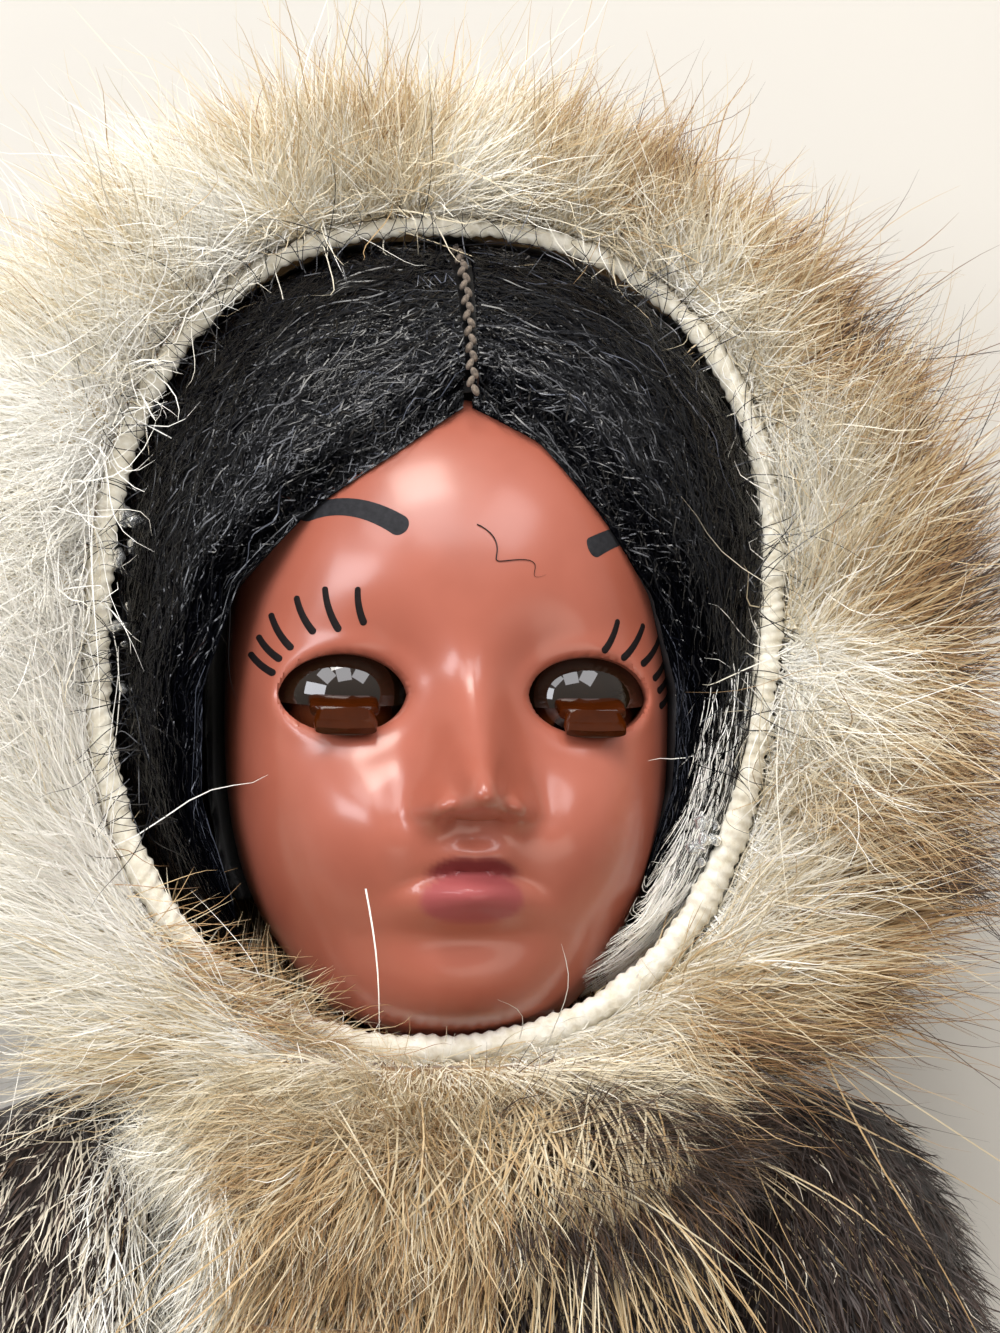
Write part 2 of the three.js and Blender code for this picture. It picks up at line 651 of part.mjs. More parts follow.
/** The ruff of long fur round the hood, cut square above the coat. */
function hoodRuff() {
  return faceRing({
    halfWidth: HOOD_FORM.halfWidth,
    up: HOOD_FORM.up,
    down: HOOD_FORM.down,
    inset: CLEARANCE,
    breadth: RUFF_BREADTH,
    topBreadth: RUFF_TOP_BREADTH,
    depth: RUFF_DEPTH,
    z: AXIS + OPENING_DEPTH - RUFF_SETBACK,
    sides: 8,
  })
    .subtract(egg(grown(HOOD_FORM, CLEARANCE), { y: HOOD_CENTRE }))
    .intersect(slab({ y: [HOOD_BOTTOM, FAR] }));
}

// Sleep eye pieces

const axleBore = () => bar("x", AXLE_BORE, -FAR, FAR, { y: EYE_LINE, z: EYE_DEPTH }, 8);

/** A ball on the axle. */
function eyeball(x) {
  return ball(EYEBALL_RADIUS, { x, y: EYE_LINE, z: EYE_DEPTH }).subtract(axleBore());
}

/** A half round lid over the ball, with its moulded lash standing out over the lower rim. */
function eyelid(x) {
  const middle = { x, y: EYE_LINE, z: EYE_DEPTH };
  const above = new THREE.BoxGeometry(FAR, FAR, FAR).translate(0, FAR / 2, 0);
  above.rotateX(LID_ANGLE).translate(x, EYE_LINE, EYE_DEPTH);
  const dome = ball(LID_RADIUS, middle)
    .subtract(ball(LID_RADIUS - LID_THICKNESS, middle))
    .intersect(solid(above));
  const drop = LASH_THICKNESS / 2 - LID_RADIUS * Math.sin(LID_ANGLE);
  const stations = [
    { out: LID_RADIUS - LID_THICKNESS / 2, y: drop, half: LASH_ROOT_HALF_WIDTH },
    { out: LID_RADIUS + LASH_STEP.out, y: drop - LASH_STEP.drop, half: LASH_ROOT_HALF_WIDTH },
    { out: LID_RADIUS + LASH_TIP.out, y: drop - LASH_TIP.drop, half: LASH_TIP_HALF_WIDTH },
  ];
  const lash = limb(
    stations.map(({ out, y, half }) => ({
      at: new THREE.Vector3(x, EYE_LINE + y, EYE_DEPTH + out),
      half,
      breadth: LASH_THICKNESS / 2,
    })),
    { points: 8 },
  );
  return dome.add(lash).subtract(axleBore());
}

/** The wire that both eyes hang on. */
function eyeAxle() {
  const reach = EYEBALL_X + AXLE_REACH;
  return bar("x", AXLE_RADIUS, -reach, reach, { y: EYE_LINE, z: EYE_DEPTH }, 8);
}

/** The weight behind the eyes, on a stem from a hub on the axle. */
function eyeWeight() {
  const slugFront = EYE_DEPTH - WEIGHT_STEM_LENGTH;
  const place = { y: EYE_LINE };
  const hub = { ...place, z: EYE_DEPTH };
  return bar("x", AXLE_BORE + HUB_WALL, -WEIGHT_HUB_HALF_WIDTH, WEIGHT_HUB_HALF_WIDTH, hub, 12)
    .add(bar("z", WEIGHT_STEM_RADIUS, slugFront - 1, EYE_DEPTH - AXLE_BORE, place, 8))
    .add(bar("z", WEIGHT_RADIUS, slugFront - WEIGHT_LENGTH, slugFront, place, 12))
    .subtract(axleBore());
}

/** Two ears that carry the axle, on a foot against the inside of the nose bridge. */
function eyeBracket() {
  const inside = WEIGHT_HUB_HALF_WIDTH + CLEARANCE;
  const outside = inside + BRACKET_PLATE;
  const walls = [-BRACKET_HALF_HEIGHT, 0, BRACKET_HALF_HEIGHT].map(
    (y) => frontDepth(LINER_FORM, outside, y) + formsRise(BROAD_FORMS, { x: outside, y }),
  );
  const front = AXIS + Math.min(...walls) - 2 * CLEARANCE;
  const foot = slab({
    x: [-outside, outside],
    y: [EYE_LINE - BRACKET_HALF_HEIGHT, EYE_LINE + BRACKET_HALF_HEIGHT],
    z: [front - BRACKET_FOOT, front],
  });
  const tongue = AXLE_BORE + HUB_WALL;
  return [-1, 1]
    .reduce((bracket, side) => {
      const x = side > 0 ? [inside, outside] : [-outside, -inside];
      const y = [EYE_LINE - tongue, EYE_LINE + tongue];
      const ear = slab({ x, y, z: [EYE_DEPTH, front - BRACKET_FOOT / 2] });
      const round = bar("x", tongue, x[0], x[1], { y: EYE_LINE, z: EYE_DEPTH }, 12);
      return bracket.add(ear).add(round);
    }, foot)
    .subtract(axleBore());
}

// Body pieces

/** The trunk's stations, from the crotch to the top of the neck. */
const TRUNK = [
  { y: CROTCH_HEIGHT, halfWidth: CROTCH_HALF_WIDTH, front: CROTCH_HALF_DEPTH },
  { y: HIP_HEIGHT, halfWidth: HIP_HALF_WIDTH, front: HIP_HALF_DEPTH },
  { y: WAIST_HEIGHT, halfWidth: WAIST_HALF_WIDTH, front: WAIST_HALF_DEPTH },
  { y: CHEST_HEIGHT, halfWidth: CHEST_HALF_WIDTH, front: CHEST_HALF_DEPTH },
  { y: SHOULDER_HEIGHT, halfWidth: SHOULDER_HALF_WIDTH, front: SHOULDER_HALF_DEPTH },
  {
    y: (SHOULDER_HEIGHT + NECK_BASE) / 2,
    halfWidth: (SHOULDER_HALF_WIDTH + NECK_RADIUS) / 2 + SLOPE_FULLNESS,
    front: (SHOULDER_HALF_DEPTH + NECK_RADIUS) / 2 + SLOPE_FULLNESS,
  },
  { y: NECK_BASE, halfWidth: NECK_RADIUS + NECK_FLARE, front: NECK_RADIUS + NECK_FLARE },
  { y: NECK_TOP, halfWidth: NECK_RADIUS, front: NECK_RADIUS },
];

/** The trunk, longer at both ends by the amount that it grows. */
function trunk(grow) {
  const ends = [-Math.abs(grow), Math.abs(grow)];
  const stations = TRUNK.map((station, i) => {
    const end = i === 0 ? ends[0] : i === TRUNK.length - 1 ? ends[1] : 0;
    return { ...station, y: station.y + end };
  });
  return loft(stations, { grow, points: TRUNK_POINTS });
}

/** A leg from the ankle to the hip. */
function leg(side, grow) {
  const x = side * LEG_OFFSET;
  const at = (y, radius) => ({ y, x, halfWidth: radius, front: radius });
  const stations = [
    at(FOOT_MIDDLE, ANKLE_RADIUS),
    at(ANKLE_HEIGHT, ANKLE_RADIUS),
    at(CALF_HEIGHT, CALF_RADIUS),
    at(KNEE_HEIGHT, KNEE_RADIUS),
    at(CROTCH_HEIGHT, THIGH_RADIUS),
    at(HIP_HEIGHT, THIGH_RADIUS),
  ];
  return loft(stations, { grow, squareness: 2, points: LIMB_POINTS });
}

/** A foot, toes to the front. */
function foot(side, grow) {
  const form = {
    halfWidth: FOOT_HALF_WIDTH,
    up: FOOT_HALF_HEIGHT,
    down: FOOT_HALF_HEIGHT,
    front: TOE_LENGTH,
    back: HEEL_LENGTH,
    squareness: FUR_SQUARENESS,
  };
  const solidFoot = egg(grown(form, grow), { y: FOOT_MIDDLE, columns: LIMB_POINTS, rows: [4, 3] });
  return solidFoot.translate([side * LEG_OFFSET, 0, 0]);
}

/** One half of the moulded body: trunk, legs and feet, hollow in the trunk. */
function bodyHalf(side) {
  const cavity = loft(TRUNK.slice(1, 6), { grow: -BODY_WALL, points: TRUNK_POINTS });
  const depth = side > 0 ? [AXIS + SEAM_GAP / 2, FAR] : [-FAR, AXIS - SEAM_GAP / 2];
  return trunk(0)
    .add(leg(-1, 0))
    .add(leg(1, 0))
    .add(foot(-1, 0))
    .add(foot(1, 0))
    .subtract(cavity)
    .subtract(neckBore(CLEARANCE))
    .subtract(bar("x", ELASTIC_RADIUS + CLEARANCE, -FAR, FAR, { y: SHOULDER_HEIGHT, z: AXIS }, 10))
    .intersect(slab({ z: depth }));
}

/** The plug in the neck, whose flange holds the head down. */
function neckPlug() {
  const n = HEAD_SQUARENESS;
  const spread = (PLUG_FLANGE_RADIUS / LINER_FORM.halfWidth) ** n;
  const floor = EYE_LINE - LINER_FORM.down * (1 - spread) ** (1 / n);
  const low = floor + 2 * CLEARANCE;
  return bar("y", PLUG_FLANGE_RADIUS, low, low + PLUG_FLANGE, { z: AXIS }).add(
    bar("y", PLUG_STEM_RADIUS, NECK_BASE - NECK_LENGTH / 2, low + PLUG_FLANGE / 2, { z: AXIS }),
  );
}

/** The wire hook that ties the neck plug to the arm elastic. */
function neckHook() {
  const round = ELASTIC_RADIUS + CLEARANCE + HOOK_WIRE;
  const top = NECK_BASE - NECK_LENGTH / 2 - CLEARANCE;
  const path = [new THREE.Vector3(0, top, AXIS + round)];
  const turns = 6;
  for (let i = 0; i <= turns; i += 1) {
    const angle = (Math.PI * i) / turns;
    const drop = -round * Math.sin(angle);
    path.push(new THREE.Vector3(0, SHOULDER_HEIGHT + drop, AXIS + round * Math.cos(angle)));
  }
  path.push(new THREE.Vector3(0, SHOULDER_HEIGHT + HOOK_TIP, AXIS - round));
  return limb(path.map((at) => ({ at, half: HOOK_WIRE })), { points: 6 });
}

/** The elastic that strings the arms across the chest, with a knot inside each arm. */
function armElastic() {
  const knots = [-ARM_X, ARM_X].map((x) => ball(KNOT_RADIUS, { x, y: SHOULDER_HEIGHT, z: AXIS }, 8, 5));
  const cord = bar("x", ELASTIC_RADIUS, -ARM_X, ARM_X, { y: SHOULDER_HEIGHT, z: AXIS }, 8);
  return cord.add(knots[0]).add(knots[1]);
}

// Arm pieces

const SHOULDER_POINT = new THREE.Vector3(ARM_X, SHOULDER_HEIGHT, AXIS);
const UPPER_WAY = new THREE.Vector3(Math.sin(ARM_SPREAD), -Math.cos(ARM_SPREAD), 0);
const LOWER_WAY = UPPER_WAY.clone().multiplyScalar(Math.cos(ELBOW_BEND));
LOWER_WAY.z = Math.sin(ELBOW_BEND);

/** A point on the left arm's middle line, a distance from the shoulder. */
function armPoint(distance) {
  const upper = Math.min(distance, UPPER_ARM);
  return SHOULDER_POINT.clone()
    .addScaledVector(UPPER_WAY, upper)
    .addScaledVector(LOWER_WAY, distance - upper);
}

/** Stations that round a limb off above the left shoulder. */
function shoulderCap(radius) {
  const heights = [0.95, 0.7, 0];
  return heights.map((rise) => ({ at: armPoint(-radius * rise), half: radius * Math.sqrt(1 - rise * rise) }));
}

/** The left arm's skin, with its round shoulder and the peg that meets the body's side. */
function armSkin(grow) {
  const wrist = UPPER_ARM + FOREARM;
  const stations = [
    ...shoulderCap(ARM_JOINT_RADIUS),
    { at: armPoint(UPPER_ARM), half: ELBOW_RADIUS },
    { at: armPoint(wrist), half: WRIST_RADIUS },
    { at: armPoint(wrist + HAND_LENGTH * 0.35), half: PALM_HALF_THICKNESS, breadth: PALM_HALF_BREADTH },
    { at: armPoint(wrist + HAND_LENGTH * 0.7), half: PALM_HALF_THICKNESS, breadth: PALM_HALF_BREADTH },
    { at: armPoint(wrist + HAND_LENGTH), half: FINGER_HALF_THICKNESS, breadth: FINGER_HALF_BREADTH },
  ];
  const inner = SHOULDER_HALF_WIDTH + CLEARANCE - grow;
  const place = { y: SHOULDER_HEIGHT, z: AXIS };
  const peg = bar("x", ARM_JOINT_RADIUS - ARM_PEG_STEP + grow, inner, ARM_X, place, LIMB_POINTS);
  return limb(stations, { grow }).add(peg);
}

/** The slit between two fingers of the left hand, a distance before or behind the middle of its breadth. */
function fingerSlit(offset) {
  const side = new THREE.Vector3(1, 0, 0).addScaledVector(LOWER_WAY, -LOWER_WAY.x).normalize();
  const fore = new THREE.Vector3().crossVectors(side, LOWER_WAY);
  const middle = armPoint(UPPER_ARM + FOREARM + HAND_LENGTH * (FINGER_ROOT + 0.5));
  middle.addScaledVector(fore, offset);
  const box = new THREE.BoxGeometry(4 * PALM_HALF_THICKNESS, HAND_LENGTH, FINGER_SLIT);
  box.applyMatrix4(new THREE.Matrix4().makeBasis(side, LOWER_WAY, fore).setPosition(middle));
  return solid(box);
}

/** The left arm with its thumb, its parted fingers and the pocket that holds the elastic's knot. */
function leftArm() {
  const palm = armPoint(UPPER_ARM + FOREARM + HAND_LENGTH * 0.2);
  const way = LOWER_WAY.clone().add(new THREE.Vector3(0, 0, 1)).normalize();
  const start = palm.clone().add(new THREE.Vector3(0, 0, PALM_HALF_BREADTH * 0.6));
  const thumb = limb(
    [0, 0.6, 1].map((share) => ({
      at: start.clone().addScaledVector(way, THUMB_LENGTH * share),
      half: share === 1 ? THUMB_RADIUS * 0.6 : THUMB_RADIUS,
    })),
    { points: 8 },
  );
  const place = { y: SHOULDER_HEIGHT, z: AXIS };
  const pocket = bar("x", KNOT_RADIUS + CLEARANCE, ARM_X - KNOT_RADIUS - CLEARANCE, FAR, place, 12);
  const hole = bar("x", ELASTIC_RADIUS + CLEARANCE, 0, ARM_X, place, 10);
  const whole = armSkin(0).add(thumb).subtract(pocket).subtract(hole);
  return [-1, 0, 1].reduce((arm, finger) => arm.subtract(fingerSlit(finger * FINGER_PITCH)), whole);
}

/** The left sleeve, with its round top outside the coat and its end before the cuff. */
function leftSleeve() {
  const end = UPPER_ARM + SLEEVE_FOREARM;
  const stations = [
    ...shoulderCap(ARM_JOINT_RADIUS + SLEEVE_PILE),
    { at: armPoint(UPPER_ARM), half: ELBOW_RADIUS + SLEEVE_PILE },
    { at: armPoint(end), half: WRIST_RADIUS + SLEEVE_PILE },
  ];
  return limb(stations)
    .subtract(armSkin(CLEARANCE))
    .intersect(slab({ x: [SLEEVE_INNER, FAR] }));
}

/** The light fur cuff at the left wrist. */
function leftCuff() {
  const start = UPPER_ARM + SLEEVE_FOREARM + CLEARANCE;
  const full = WRIST_RADIUS + CUFF_PILE;
  const slim = full - CUFF_ROUNDING;
  const stations = [
    { at: armPoint(start), half: slim },
    { at: armPoint(start + CUFF_ROUNDING), half: full },
    { at: armPoint(start + CUFF_LENGTH - CUFF_ROUNDING), half: full },
    { at: armPoint(start + CUFF_LENGTH), half: slim },
  ];
  return limb(stations).subtract(armSkin(CLEARANCE));
}

const mirrored = (piece) => piece.mirror([1, 0, 0]);

// Clothes

const COAT_BACK = AXIS + FLOOR_PRESS;
const COAT = [
  { y: COAT_HEM_HEIGHT, halfWidth: COAT_HEM_HALF_WIDTH, front: COAT_HEM_FRONT, back: COAT_BACK },
  { y: HIP_HEIGHT, halfWidth: COAT_HIP_HALF_WIDTH, front: COAT_FRONT, back: COAT_BACK },
  { y: WAIST_HEIGHT, halfWidth: COAT_WAIST_HALF_WIDTH, front: COAT_FRONT, back: COAT_BACK },
  { y: SHOULDER_HEIGHT, halfWidth: COAT_SHOULDER_HALF_WIDTH, front: COAT_FRONT, back: COAT_BACK },
  {
    y: (SHOULDER_HEIGHT + COAT_TOP) / 2,
    halfWidth: COAT_YOKE_HALF_WIDTH,
    front: COAT_YOKE_FRONT,
    back: (COAT_BACK + COLLAR_BACK) / 2,
  },
  { y: COAT_TOP, halfWidth: COLLAR_HALF_WIDTH, front: COLLAR_FRONT, back: COLLAR_BACK },
];
const TROUSER_TOP = CROTCH_HEIGHT - CLEARANCE;

/** One trouser leg, between its cuff and the crotch, larger by one amount. */
function trouserOuter(side, grow) {
  const x = side * TROUSER_OFFSET;
  const at = (y, slim) => ({ y, x, halfWidth: TROUSER_HALF_WIDTH - slim, front: TROUSER_HALF_DEPTH - slim });
  const stations = [
    at(TROUSER_BOTTOM - grow, CUFF_ROUNDING),
    at(TROUSER_BOTTOM + CUFF_ROUNDING, 0),
    at(TROUSER_TOP + grow, 0),
  ];
  return loft(stations, { grow, squareness: 2 });
}

const trouserLeg = (side) => trouserOuter(side, 0).subtract(leg(side, CLEARANCE));
const trousers = (grow) => trouserOuter(-1, grow).add(trouserOuter(1, grow));

/** The front or back panel of the coat, round the body and open for the arms. */
function coatPanel(side) {
  const depth = side > 0 ? [AXIS + SEAM_GAP / 2, FAR] : [0, AXIS - SEAM_GAP / 2];
  const armHole = ARM_JOINT_RADIUS + 2 * CLEARANCE;
  return loft(COAT)
    .subtract(trunk(CLEARANCE))
    .subtract(leg(-1, CLEARANCE))
    .subtract(leg(1, CLEARANCE))
    .subtract(trousers(CLEARANCE))
    .subtract(bar("x", armHole, -FAR, FAR, { y: SHOULDER_HEIGHT, z: AXIS }, RING_POINTS))
    .intersect(slab({ z: depth }));
}

/** The light fur strip down the coat's front. */
function frontBand() {
  return loft(COAT, { grow: CLEARANCE + BAND_THICKNESS })
    .subtract(loft(COAT, { grow: CLEARANCE }))
    .intersect(
      slab({
        x: [BAND_MIDDLE - BAND_HALF_WIDTH, BAND_MIDDLE + BAND_HALF_WIDTH],
        y: [COAT_HEM_HEIGHT, BIB_MIDDLE - BIB_HALF_HEIGHT - CLEARANCE],
        z: [AXIS, FAR],
      }),
    );
}

/** The bib of long fur under the chin, on the coat's chest. */
function collarFur() {
  const form = {
    halfWidth: BIB_HALF_WIDTH,
    up: BIB_HALF_HEIGHT,
    down: BIB_HALF_HEIGHT,
    front: BIB_FRONT,
    back: BIB_FRONT,
    squareness: FUR_SQUARENESS,
  };
  return egg(form, { y: BIB_MIDDLE, columns: 20, rows: [8, 4] })
    .subtract(loft(COAT, { grow: CLEARANCE }))
    .intersect(slab({ y: [-FAR, COAT_TOP], z: [AXIS + NECK_RADIUS, FAR] }));
}

/** The light fur band below the coat's hem, round both trouser legs. */
function hemBand() {
  const top = COAT_HEM_HEIGHT - CLEARANCE;
  const low = top - HEM_BAND_HEIGHT;
  const at = (y, flare) => ({
    y,
    halfWidth: COAT_HEM_HALF_WIDTH + flare,
    front: COAT_HEM_FRONT + flare,
    back: COAT_BACK,
  });
  const stations = [
    at(low, 0),
    at(low + HEM_BAND_FLARE, HEM_BAND_FLARE),
    at(top - HEM_BAND_FLARE, HEM_BAND_FLARE),
    at(top, 0),
  ];
  return loft(stations)
    .subtract(trousers(CLEARANCE))
    .intersect(slab({ z: [0, FAR] }));
}

/** A soft boot round the foot and the calf, on its sole. */
function boot(side) {
  const leather = CLEARANCE + BOOT_LEATHER;
  return leg(side, leather)
    .add(foot(side, leather))
    .subtract(leg(side, CLEARANCE))
    .subtract(foot(side, CLEARANCE))
    .intersect(slab({ y: [SOLE_THICKNESS + CLEARANCE, BOOT_HEIGHT] }));
}

/** The fur cuff above a boot. */
function bootCuff(side) {
  const x = side * LEG_OFFSET;
  const full = CALF_RADIUS + BOOT_CUFF_PILE - CUFF_ROUNDING;
  const top = BOOT_CUFF_BOTTOM + BOOT_CUFF_HEIGHT;
  const room = LEG_OFFSET - CLEARANCE / 2;
  const at = (y, radius) => ({ y, x, halfWidth: Math.min(radius, room), front: radius });
  const stations = [
    at(BOOT_CUFF_BOTTOM, full - CUFF_ROUNDING),
    at(BOOT_CUFF_BOTTOM + CUFF_ROUNDING, full),
    at(top - CUFF_ROUNDING, full),
    at(top, full - CUFF_ROUNDING),
  ];
  return loft(stations, { squareness: 2, points: LIMB_POINTS }).subtract(leg(side, CLEARANCE));
}

/** The flat leather sole of a boot. */
function bootSole(side) {
  const half = FOOT_HALF_WIDTH + BOOT_LEATHER + SOLE_MARGIN;
  const [toe, heel] = [TOE_LENGTH + BOOT_LEATHER, HEEL_LENGTH + BOOT_LEATHER];
  const shape = new THREE.Shape();
  shape.moveTo(half, 0);
  const [front, back] = [(-toe * 4) / 3, (heel * 4) / 3];
  shape.bezierCurveTo(half, front, -half, front, -half, 0);
  shape.bezierCurveTo(-half, back, half, back, half, 0);
  const cut = { depth: SOLE_THICKNESS, bevelEnabled: false, curveSegments: 10 };
  const sole = new THREE.ExtrudeGeometry(shape, cut);
  sole.rotateX(-Math.PI / 2).translate(side * LEG_OFFSET, 0, AXIS);
  return solid(sole);
}

// Materials

const finish = (color, roughness, metalness = 0) => ({ color, roughness, metalness });
const SKIN = finish(0xb25a45, 0.4);
const PALE_FUR = finish(0xe8dfc4, 0.95);
const TAN_FUR = finish(0xc9a26a, 0.95);
const DARK_FUR = finish(0x3a2a24, 0.95);
const HAIR = finish(0x17171c, 0.6);
const HIDE = finish(0xedebdd, 0.8);
const EYE_AMBER = finish(0x4a2410, 0.15);
const EYE_DARK = finish(0x1c0f08, 0.2);
const STEEL = finish(0xa8a8ac, 0.35, 1);
const LEAD = finish(0x6a6c70, 0.6, 1);
const RUBBER = finish(0xb9a58a, 0.8);
const CLOTH = finish(0x232327, 0.95);
const THREAD = finish(0x6e665c, 0.9);
const LEATHER = finish(0x8a6a4a, 0.75);
const BODY_PLASTIC = finish(0xb25a45, 0.5);

const doll = new THREE.Group();
doll.position.y = -BACK_REST_HEIGHT;

/** Adds a solid to the doll as a named mesh with its own material. */
function add(name, piece, look) {
  const { numProp, vertProperties, triVerts } = piece.getMesh();
  const positions = new Float32Array((vertProperties.length / numProp) * 3);
  for (let i = 0; i < positions.length / 3; i += 1) {
    positions.set(vertProperties.subarray(i * numProp, i * numProp + 3), i * 3);
  }
  const geometry = new THREE.BufferGeometry();
  geometry.setAttribute("position", new THREE.BufferAttribute(positions, 3));
  geometry.setIndex(new THREE.BufferAttribute(triVerts.slice(), 1));
  geometry.computeVertexNormals();
  const mesh = new THREE.Mesh(geometry, new THREE.MeshStandardMaterial(look));
  mesh.name = name;
  doll.add(mesh);
}

// Head and what turns with it
const head = hollowHead();
add("face_shell", faceShell(head), SKIN);
add("head_back_shell", head.intersect(slab({ z: [-FAR, AXIS - SEAM_GAP / 2] })), SKIN);
add("eye_bracket", eyeBracket(), STEEL);
add("wig_cap", wigCap(), CLOTH);
add("hair_left", hairSide(1), HAIR);
add("hair_right", hairSide(-1), HAIR);
add("part_thread", partThread(), THREAD);
add("hood_shell", hoodShell(), TAN_FUR);
add("hood_edge", hoodEdge(), HIDE);
add("hood_ruff", hoodRuff(), PALE_FUR);

// Sleep eyes on their axle
add("left_eyeball", eyeball(EYEBALL_X), EYE_DARK);
add("right_eyeball", eyeball(-EYEBALL_X), EYE_DARK);
add("left_eyelid", eyelid(EYEBALL_X), EYE_AMBER);
add("right_eyelid", eyelid(-EYEBALL_X), EYE_AMBER);
add("eye_axle", eyeAxle(), STEEL);
add("eye_weight", eyeWeight(), LEAD);

// Body, stringing and clothes
add("body_front", bodyHalf(1), BODY_PLASTIC);
add("body_back", bodyHalf(-1), BODY_PLASTIC);
add("neck_plug", neckPlug(), BODY_PLASTIC);
add("neck_hook", neckHook(), STEEL);
add("arm_elastic", armElastic(), RUBBER);
add("parka_front", coatPanel(1), DARK_FUR);
add("parka_back", coatPanel(-1), DARK_FUR);
add("front_band", frontBand(), TAN_FUR);
add("collar_fur", collarFur(), PALE_FUR);
add("hem_band", hemBand(), PALE_FUR);
[
  ["left", 1],
  ["right", -1],
].forEach(([name, side]) => {
  add(`${name}_trouser_leg`, trouserLeg(side), DARK_FUR);
  add(`${name}_boot_cuff`, bootCuff(side), PALE_FUR);
  add(`${name}_boot`, boot(side), LEATHER);
  add(`${name}_boot_sole`, bootSole(side), LEATHER);
});

// Arms and their sleeves
[
  ["arm", leftArm(), SKIN],
  ["sleeve", leftSleeve(), DARK_FUR],
  ["cuff", leftCuff(), PALE_FUR],
].forEach(([name, piece, look]) => {
  add(`left_${name}`, piece, look);
  add(`right_${name}`, mirrored(piece), look);
});

export default doll;
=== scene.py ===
"""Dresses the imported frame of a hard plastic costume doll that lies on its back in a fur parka.

Sizes in the classes are millimetres in the row frame: X towards the doll's own left, Y from the soles
to the crown, Z out of the face. Meshes are written in metres.
"""

import logging
import math
from dataclasses import dataclass, field
from enum import Enum
from typing import Any, Callable, Optional, Sequence

import bpy
import numpy as np
from mathutils import Matrix, Vector
from mathutils.bvhtree import BVHTree
from mathutils.kdtree import KDTree


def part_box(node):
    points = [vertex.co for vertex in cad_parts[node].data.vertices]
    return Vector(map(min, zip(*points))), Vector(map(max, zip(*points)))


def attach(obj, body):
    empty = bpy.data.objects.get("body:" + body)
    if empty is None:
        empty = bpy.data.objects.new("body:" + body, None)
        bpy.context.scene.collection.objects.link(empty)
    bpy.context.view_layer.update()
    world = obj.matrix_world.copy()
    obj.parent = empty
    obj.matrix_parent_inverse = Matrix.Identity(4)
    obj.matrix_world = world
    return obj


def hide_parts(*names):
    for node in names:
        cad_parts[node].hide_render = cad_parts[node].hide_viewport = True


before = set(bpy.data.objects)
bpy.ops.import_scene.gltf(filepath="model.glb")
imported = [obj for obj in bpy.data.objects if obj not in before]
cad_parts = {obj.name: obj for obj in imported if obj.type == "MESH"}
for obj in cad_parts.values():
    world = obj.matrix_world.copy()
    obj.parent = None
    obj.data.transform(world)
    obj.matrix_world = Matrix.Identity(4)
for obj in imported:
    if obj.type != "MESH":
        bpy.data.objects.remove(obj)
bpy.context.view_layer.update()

MM = 0.001
SEED = 7
STRAND_MAP = "OFBake"  # the one map on a hair: its tone across, root to tip along
WHITE_TONE = 0.04  # a white hair's place on either fur palette
ABOVE_ALL = 0.1  # a height over the whole doll, in metres
UP = np.array([0, 0, 1.0])
LOG = logging.getLogger("doll")

Array = np.ndarray
Draws = np.random.Generator
Material = bpy.types.Material
Socket = bpy.types.NodeSocket
Thing = bpy.types.Object


class Body(str, Enum):
    """The bodies of the frame that a piece can ride on."""

    HEAD = "head"
    EYES = "eyes"
    TRUNK = "body"
    LEFT_ARM = "left_arm"
    RIGHT_ARM = "right_arm"


class Side(Enum):
    """The doll's own sides, as the sign of X."""

    LEFT = 1
    RIGHT = -1

    @property
    def word(self) -> str:
        """The side's name as the frame writes it."""
        return self.name.lower()


# Small helpers


def linear(hexa: str) -> tuple[float, float, float, float]:
    """Turns an sRGB hex colour into linear light.

    Args:
        hexa: The colour as "#RRGGBB".

    Returns:
        Red, green, blue and an alpha of 1.
    """
    parts = [int(hexa[i : i + 2], 16) / 255 for i in (1, 3, 5)]
    light = [c / 12.92 if c <= 0.04045 else ((c + 0.055) / 1.055) ** 2.4 for c in parts]
    return light[0], light[1], light[2], 1.0


def ease(start: float, end: float, value: Array) -> Array:
    """A smooth step from 0 at start to 1 at end."""
    t = np.clip((value - start) / (end - start), 0, 1)
    return t * t * (3 - 2 * t)


def unit(vectors: Array) -> Array:
    """Scales vectors to a length of 1."""
    return vectors / np.maximum(np.linalg.norm(vectors, axis=-1, keepdims=True), 1e-9)


def box_mm(node: str) -> tuple[Array, Array]:
    """Reads a node's box from the frame."""
    low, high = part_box(node)
    return np.array(low) / MM, np.array(high) / MM


def middle_mm(node: str) -> Array:
    """The middle of a node's box in millimetres."""
    low, high = box_mm(node)
    return (low + high) / 2


EYE_LINE = float(middle_mm("eye_axle")[1])
EYE_DEPTH = float(middle_mm("eye_axle")[2])
AXIS = float(middle_mm("arm_elastic")[2])


def full_turn(count: int) -> Array:
    """Angles once round, evenly spaced."""
    return np.linspace(0, 2 * math.pi, count, endpoint=False)


def round_ways(polar: Array, columns: int) -> Array:
    """Unit vectors round the Z axis.

    Args:
        polar: Their angles from the axis.
        columns: How many there are at each angle.

    Returns:
        The vectors, as angles by columns by 3.
    """
    polar, turn = polar[:, None], full_turn(columns)[None, :]
    sine = np.sin(polar)
    return np.stack([sine * np.cos(turn), sine * np.sin(turn), np.cos(polar) + 0 * turn], axis=-1)


def round_face(angle: Array, degrees: Sequence[float], values: Sequence[float]) -> Array:
    """Values at angles round the face, between stations from -90 to 270 degrees."""
    return np.interp((np.degrees(angle) + 90) % 360 - 90, degrees, values)


